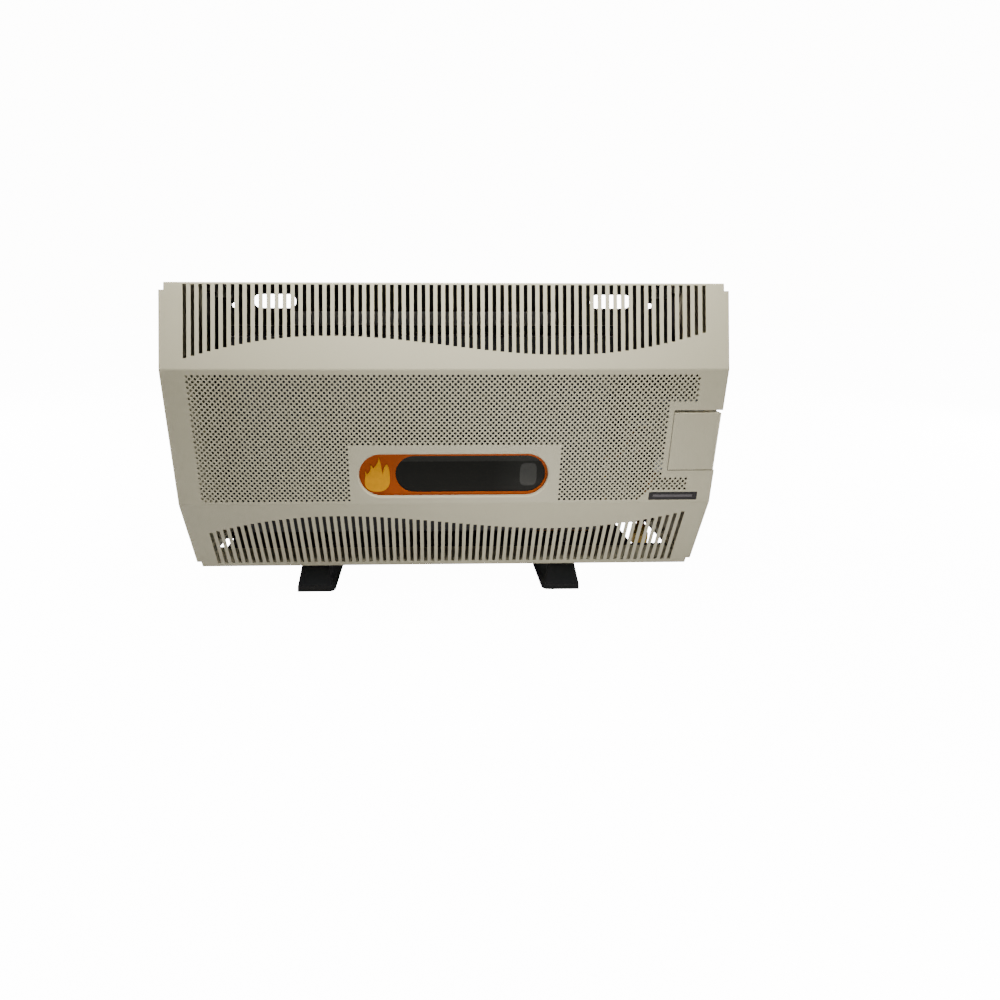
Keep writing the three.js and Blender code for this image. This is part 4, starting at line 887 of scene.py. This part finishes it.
def makeFrontCover():
    shell = carve(casingBody(0), casingBody(cover["sheet"]))
    far = side + past
    returnEnd = front + lowerBack + cover["bottomReturn"]
    inner = side - cover["cornerInset"] - cover["sheet"]
    shell = cutBox(shell, (-far, rear, -far), (far, rear + 3 * past, 2 * far))
    shell = cutBox(shell, (-inner, returnEnd, 0), (inner, rear + past, underside + cover["sheet"] + touchGap))
    shell = cutBox(shell, (side - door["left"] - door["seam"], front - through, openingBottom),
                   (far, front + door["sideReturn"] + door["seam"], openingTop))
    edge = badge["flange"] - badge["slip"]
    shell = cutBox(shell, (badgeLow.x + edge, front - through, badgeLow.z + edge),
                   (badgeHigh.x - edge, front + through, badgeHigh.z - edge))
    shell = carve(shell, windowPrism())
    pitch, left = holeField["pitch"], holeField["left"]
    for first, last, top, bottom in fieldRuns():
        shell = cutBox(shell, (left + first * pitch, front - through, bottom),
                       (left + last * pitch, front + through, top))
    shell = carve(shell, slotCutters())
    whole = gather(shell, windowLip(), holeLattice())
    print("cover faces:", len(whole.faces))
    remakeNode("frontCover", whole, "front_cover")


makeFrontCover()
print("front cover made")


pane = {
    "height": 51.0,
    "length": 201.8,
    "endMargin": 3.1,
    "overlap": 2.5,
    "edgeEase": 0.4,
    "bezelFlange": 5.0,
    "bezelEase": 0.5,
}
paneRight = windowRight - pane["endMargin"]
paneLeft = paneRight - pane["length"]
paneMiddle = (windowTop + windowBottom) / 2


def paneOutline(grow):
    half = pane["height"] / 2 + grow
    return paneLeft - grow, paneRight + grow, paneMiddle - half, paneMiddle + half


def makeWindowBezel():
    low, high = nodeBox("window_bezel")
    ease = pane["bezelEase"]
    outer = windowOutline(pane["bezelFlange"])
    sections = [(outer, low.y), (outer, high.y), (paneOutline(0), high.y),
                (paneOutline(0), low.y + ease), (paneOutline(ease), low.y)]
    remakeNode("windowBezel", capsuleLoft(sections, closed=True), "window_bezel")


def makePane():
    low, high = nodeBox("window_glass")
    grow, ease = pane["overlap"], pane["edgeEase"]
    full = paneOutline(grow)
    sections = [(paneOutline(grow - ease), low.y), (full, low.y + ease), (full, high.y)]
    remakeNode("windowPane", capsuleLoft(sections), "window_glass")


# each curve runs from the end of the last: two handles and an end, as shares of the width and height
flame = {
    "inset": 23.9,
    "width": 33.8,
    "height": 48.4,
    "rounding": 0.12,
    "curves": (
        ((0.34, -0.5), (0.52, -0.36), (0.5, -0.12)),
        ((0.49, 0.02), (0.52, 0.16), (0.39, 0.3)),
        ((0.27, 0.22), (0.22, 0.12), (0.24, -0.02)),
        ((0.17, 0.1), (0.19, 0.3), (0.08, 0.5)),
        ((0.09, 0.34), (-0.05, 0.28), (-0.14, 0.17)),
        ((-0.16, 0.22), (-0.2, 0.26), (-0.25, 0.28)),
        ((-0.2, 0.12), (-0.36, 0.04), (-0.41, 0.0)),
        ((-0.42, 0.04), (-0.44, 0.08), (-0.47, 0.1)),
        ((-0.44, -0.04), (-0.5, -0.1), (-0.5, -0.22)),
        ((-0.5, -0.42), (-0.3, -0.5), (0, -0.5)),
    ),
}


def makeFlame():
    # four plain tongues, drawn flat and stood up on the bezel
    low, high = nodeBox("flame_emblem")
    curve = bpy.data.curves.new("flameOutline", "CURVE")
    curve.dimensions = "2D"
    curve.fill_mode = "BOTH"
    curve.resolution_u = 10
    curve.bevel_depth = flame["rounding"] * mm
    curve.bevel_resolution = 2
    curve.extrude = ((high.y - low.y) / 2 - flame["rounding"]) * mm
    curve.offset = -flame["rounding"] * mm
    curves = flame["curves"]
    spline = curve.splines.new("BEZIER")
    spline.bezier_points.add(len(curves) - 1)
    spline.use_cyclic_u = True
    size = Vector((flame["width"], flame["height"])) * mm

    def flat(pair):
        return (pair[0] * size.x, pair[1] * size.y, 0)

    for index, point in enumerate(spline.bezier_points):
        before, after = curves[index - 1], curves[index]
        point.handle_left_type = point.handle_right_type = "FREE"
        point.co = flat(before[2])
        point.handle_left = flat(before[1])
        point.handle_right = flat(after[0])
    mesh = curveMesh(curve)
    centre = Vector((windowLeft + flame["inset"], (low.y + high.y) / 2, paneMiddle)) * mm
    mesh.transform(Matrix.Translation(centre) @ upright)
    bm = bmesh.new()
    pour(bm, mesh)
    closeUp(bm)
    remakeNode("flameEmblem", bm, "flame_emblem")


def frontFace(bm):
    return min(bm.faces, key=lambda face: face.calc_center_median().y)


def stepFace(bm, face, inward, rise):
    # insets a face, then moves it along its normal on an upright wall
    if inward:
        bmesh.ops.inset_individual(bm, faces=[face], thickness=inward * mm)
    face = bmesh.ops.extrude_discrete_faces(bm, faces=[face])["faces"][0]
    bmesh.ops.translate(bm, vec=face.normal * rise * mm, verts=face.verts)
    return face


def makeBadge():
    flangeFace = front + cover["sheet"] + touchGap
    bm = newBox((badgeLow.x, flangeFace, badgeLow.z), badgeHigh)
    face = stepFace(bm, frontFace(bm), badge["flange"], flangeFace - front)
    stepFace(bm, face, badge["rim"], -badge["recess"])
    easeEdges(bm, badge["edgeEase"])
    remakeNode("badgePlate", bm, "badge_plate")
    # a plain satin band lies in the recess, with nothing on it
    margin = badge["flange"] + badge["bandMargin"]
    middle = (badgeLow.z + badgeHigh.z) / 2
    half = badge["bandHeight"] / 2
    floorY = front + badge["recess"]
    band = newBox((badgeLow.x + margin, floorY - badge["bandFront"], middle - half),
                  (badgeHigh.x - margin, floorY + badge["bandSunk"], middle + half))
    easeEdges(band, badge["bandEase"], 1)
    addPiece("badgeBand", band, "aluminised_steel", material=finishes["badgeSatin"])


makeWindowBezel()
makePane()
makeFlame()
makeBadge()
print("window and badge made")


def uprightEdges(geometry):
    return [edge for edge in edgesIn(geometry) if abs(edge.verts[0].co.z - edge.verts[1].co.z) > 1 * mm]


def sweep(bm, edges, vec):
    made = bmesh.ops.extrude_edge_only(bm, edges=edges)["geom"]
    bmesh.ops.translate(bm, vec=Vector(vec) * mm, verts=vertsIn(made))
    return made


def quarterTurn(bm, edges, centre, axis, steps):
    # spins a chain of edges through a right angle and gives back its last copy
    turned = bmesh.ops.spin(bm, geom=edges + list(edges[0].verts), cent=Vector(centre) * mm,
                            axis=axis, angle=math.radians(90), steps=steps)
    return edgesIn(turned["geom_last"])


def doorSkin():
    # an upright edge swept along the front, round the corner bend and back along the side
    radius, bend = door["edgeRadius"], cover["sideBend"]
    bendX = doorHigh.x - bend
    liftZ = doorHigh.z - radius
    bm = bmesh.new()
    foot = bm.verts.new(Vector((doorLow.x, front, doorLow.z)) * mm)
    head = bm.verts.new(Vector((doorLow.x, front, liftZ)) * mm)
    post = bm.edges.new((foot, head))
    rim = uprightEdges(sweep(bm, [post], (bendX - doorLow.x, 0, 0)))
    last = quarterTurn(bm, rim, (bendX, front + bend, 0), (0, 0, 1), 8)
    sweep(bm, last, (0, door["sideReturn"] - bend, 0))
    topEdge = [edge for edge in bm.edges if min(vert.co.z for vert in edge.verts) > (liftZ - 0.1) * mm
               and max(vert.co.y for vert in edge.verts) < (front + hair) * mm
               and min(vert.co.x for vert in edge.verts) < (bendX - 1) * mm]
    last = quarterTurn(bm, topEdge, (0, front + radius, liftZ), (-1, 0, 0), 5)
    sweep(bm, last, (0, door["lip"] - radius, 0))
    closeUp(bm)
    plate = max(bm.faces, key=lambda face: face.calc_area())
    if plate.normal.y > 0:
        bmesh.ops.reverse_faces(bm, faces=bm.faces)
    return bm


def makeControlDoor():
    skin = thicken(doorSkin(), cover["sheet"])
    easeEdges(skin, door["edgeEase"])
    pivot = frame["record"]["behaviour"]["joints"][0]["pos_m"]
    pivotY, pivotZ = pivot[1] / mm, pivot[2] / mm
    radius, length, bore = door["knuckleRadius"], door["knuckleLength"], door["pinBore"]
    parts = [skin]
    for x in (doorLow.x + door["leftKnuckle"], doorHigh.x - door["rightKnuckle"]):
        tube = lathe([(0, bore), (0, radius), (length, radius), (length, bore), (0, bore)],
                     (x, pivotY, pivotZ), (1, 0, 0), 24)
        web = newBox((x, front + cover["sheet"] / 2, pivotZ - radius),
                     (x + length, pivotY - bore - door["pinSlip"], pivotZ + radius))
        parts += [tube, web]
    remakeNode("controlDoor", gather(*parts), "control_door")


makeControlDoor()


knob = {
    "skirt": 18.0,
    "skirtHeight": 5.0,
    "hub": 9.6,
    "hubHeight": 9.0,
    "grip": (8.6, 32.0),
    "gripTaper": 0.82,
    "flutes": 36,
    "fluteDepth": 0.5,
    "gripSunk": 0.15,
    "gripRoot": 1.0,
    "gripEase": 1.1,
    "pointer": (1.3, 11.0),
    "pointerDepth": 0.5,
    "pointerEase": 0.1,
    "pointerMargin": 2.2,
}
knobLow, knobHigh = nodeBox("control_knob")
knobX = (knobLow.x + knobHigh.x) / 2
knobZ = (knobLow.z + knobHigh.z) / 2


def makeKnob():
    rearY, faceY = knobHigh.y, knobLow.y
    skirt, height, hub = knob["skirt"], knob["skirtHeight"], knob["hub"]
    profile = [(0, 0), (0, skirt - 0.6), (0.5, skirt), (height - 1.0, skirt), (height - 0.3, skirt - 0.3),
               (height, skirt - 1.0), (height + 0.1, hub + 1.6), (height + 0.8, hub + 0.6),
               (knob["hubHeight"] - 0.6, hub - 0.6), (knob["hubHeight"], hub - 1.4), (knob["hubHeight"], 0)]
    body = lathe(profile, (knobX, rearY, knobZ), (0, -1, 0), knob["flutes"] * 4)
    for vert in body.verts:
        spoke = Vector((vert.co.x / mm - knobX, 0, vert.co.z / mm - knobZ))
        if spoke.length > skirt - 0.7:
            turn = math.atan2(spoke.z, spoke.x) * knob["flutes"]
            vert.co -= spoke.normalized() * knob["fluteDepth"] * mm * (1 - math.cos(turn)) / 2
    width, length = knob["grip"]
    grip = newBox((knobX - width / 2, faceY + knob["gripSunk"], knobZ - length / 2),
                  (knobX + width / 2, rearY - height + knob["gripRoot"], knobZ + length / 2))
    for vert in frontFace(grip).verts:
        vert.co.x = (knobX + (vert.co.x / mm - knobX) * knob["gripTaper"]) * mm
    easeEdges(grip, knob["gripEase"], 3)
    remakeNode("controlKnob", carve(body, grip, "UNION"), "control_knob")
    wide, tall = knob["pointer"]
    tip = knobZ + length / 2 - knob["pointerMargin"]
    mark = newBox((knobX - wide / 2, faceY, tip - tall),
                  (knobX + wide / 2, faceY + knob["pointerDepth"], tip))
    easeEdges(mark, knob["pointerEase"])
    addPiece("knobPointer", mark, "ceramic", "knob")


button = {
    "radius": 7.0,
    "stem": 4.5,
    "capLength": 8.0,
    "ease": 0.4,
    "shoulder": 0.9,
    "dish": 0.9,
}


def makeIgniterButton():
    low, high = nodeBox("igniter_button")
    radius, stem = button["radius"], button["stem"]
    full = high.y - low.y
    capStart = full - button["capLength"]
    ease, shoulder = button["ease"], button["shoulder"]
    profile = [(0, 0), (0, stem - ease), (ease, stem), (capStart, stem), (capStart, radius - ease),
               (capStart + ease, radius), (full - shoulder, radius), (full - 0.3, radius - 0.25),
               (full, radius - shoulder)]
    for step in range(1, 6):
        share = 1 - step / 5
        profile.append((full - button["dish"] * (1 - share * share), (radius - 1.2) * share))
    place = ((low.x + high.x) / 2, high.y, (low.z + high.z) / 2)
    remakeNode("igniterButton", lathe(profile, place, (0, -1, 0), 40), "igniter_button")


dial = {
    "figureSize": 3.0,
    "figureRadius": 19.8,
    "sweep": 240.0,
    "steps": 6,
    "tickRadius": 24.6,
    "tick": (0.5, 1.6),
    "tickMargin": 1.5,
    "inkHeight": 0.04,
    "inkWeld": 0.0005,
}


def makeDialMarks():
    # plain numbers round the knob, and short ticks where the plate reaches that far
    low, high = nodeBox("dial_plate")
    middle = Vector((knobX, low.y - dial["inkHeight"], knobZ))
    bm = bmesh.new()
    for step in range(dial["steps"] + 1):
        turn = math.radians(dial["sweep"] * step / dial["steps"])
        out = Vector((-math.sin(turn), 0, math.cos(turn)))
        curve = bpy.data.curves.new("dialFigure", "FONT")
        curve.body = str(step)
        curve.size = dial["figureSize"] * mm
        curve.align_x = curve.align_y = "CENTER"
        curve.extrude = dial["inkHeight"] * mm
        mesh = curveMesh(curve)
        mesh.transform(Matrix.Translation((middle + out * dial["figureRadius"]) * mm) @ upright)
        pour(bm, mesh)
        wide, tall = dial["tick"]
        at = middle + out * dial["tickRadius"]
        if at.x + dial["tickMargin"] > high.x or at.z - dial["tickMargin"] < low.z:
            continue
        place = Matrix.Translation(at * mm) @ Matrix.Rotation(-turn, 4, "Y")
        turnedBox(bm, place, (wide, 2 * dial["inkHeight"], tall))
    closeUp(bm, dial["inkWeld"])
    addPiece("dialMarks", bm, "black_plastic")


makeKnob()
makeIgniterButton()
makeDialMarks()
print("controls made")


screw = {
    "headRadius": 3.7,
    "headHeight": 2.4,
    "shankRadius": 1.8,
    "recess": (4.4, 0.9, 1.2),
    "frameInset": 4.0,
    "frameShank": 6.0,
}


def screwBody(place, axis, shankLength):
    # pan head and cross recess, the head outward along the axis
    height, radius, shank = screw["headHeight"], screw["headRadius"], screw["shankRadius"]
    profile = [(-shankLength, 0), (-shankLength, shank * 0.7), (1 - shankLength, shank), (0, shank),
               (0, radius - 0.3), (0.3, radius), (height / 2, radius)]
    for step in range(1, 6):
        turn = math.radians(90 * step / 5)
        profile.append((height * (1 + math.sin(turn)) / 2, radius * math.cos(turn)))
    profile[-1] = (height, 0)
    body = lathe(profile, place, axis, 28)
    turn = Vector((0, 0, 1)).rotation_difference(Vector(axis)).to_matrix().to_4x4()
    top = Matrix.Translation(Vector(place) * mm) @ turn @ Matrix.Translation((0, 0, height * mm))
    length, width, depth = screw["recess"]
    for size in ((length, width), (width, length)):
        cutter = bmesh.new()
        turnedBox(cutter, top, (*size, 2 * depth))
        body = carve(body, cutter)
    return body


def makeNodeScrew(node, axis):
    # stands where the node's screw stands, its head on the node's outer end
    low, high = nodeBox(node)
    middle = (low + high) / 2
    along = Vector(axis)
    reach = abs((high - low).dot(along))
    seatPlace = middle + along * (reach / 2 - screw["headHeight"])
    remakeNode(node + "Cross", screwBody(seatPlace, axis, reach - screw["headHeight"]), node)


def makeSightScrews():
    low, high = nodeBox("sight_glass_frame")
    inset = screw["frameInset"]
    middle = (low.x + high.x) / 2
    bodies = [screwBody((x, low.y, z), (0, -1, 0), screw["frameShank"])
              for x in (low.x + inset, middle, high.x - inset) for z in (low.z + inset, high.z - inset)]
    addPiece("sightFrameScrews", gather(*bodies), "bare_steel")


for node, axis in (("cover_screw_left", (-1, 0, 0)), ("cover_screw_right", (1, 0, 0)),
                   ("foot_screw_left", (0, 0, -1)), ("foot_screw_right", (0, 0, -1))):
    makeNodeScrew(node, axis)
makeSightScrews()
print("screws made")


# edge radii of the folded, cast and turned pieces, in mm, a left and right pair named once
easedEdges = {
    "foot": 1.0, "back_frame": 0.2, "cover_hook": 0.3, "window_strap": 0.15, "door_hinge_bracket": 0.2,
    "door_hinge_pin": 0.2, "control_bracket": 0.2, "dial_plate": 0.12, "gas_valve": 0.8,
    "igniter_nut": 0.5, "piezo_igniter": 0.5, "chamber_front": 0.4, "chamber_rear": 0.4,
    "sight_glass_frame": 0.3, "injector": 0.3, "gas_inlet_nut": 0.6, "thermostat_clip": 0.15,
    "air_duct": 0.2, "exhaust_pipe": 0.2, "air_collar": 0.2, "heat_shield": 0.2, "chamber_rail": 0.3,
}
smoothRuns = ("gas_inlet_pipe", "burner_supply_pipe", "pilot_pipe", "thermocouple_lead", "ignition_lead",
              "thermostat_bulb", "main_burner", "pilot_burner", "thermocouple", "ignition_electrode",
              "valve_spindle", "valve_plunger")
for name, width in easedEdges.items():
    for node in (name,) if name in slotOf else (name + "_left", name + "_right"):
        dressNode(node, width)
for node in smoothRuns:
    dressNode(node, smoothAngle=50)
print("CAD pieces dressed")

for node, holder in frame["nodes"].items():
    for row in holder.material_slots:
        row.link = "OBJECT"
        row.material = finishes[slotOf[node]]
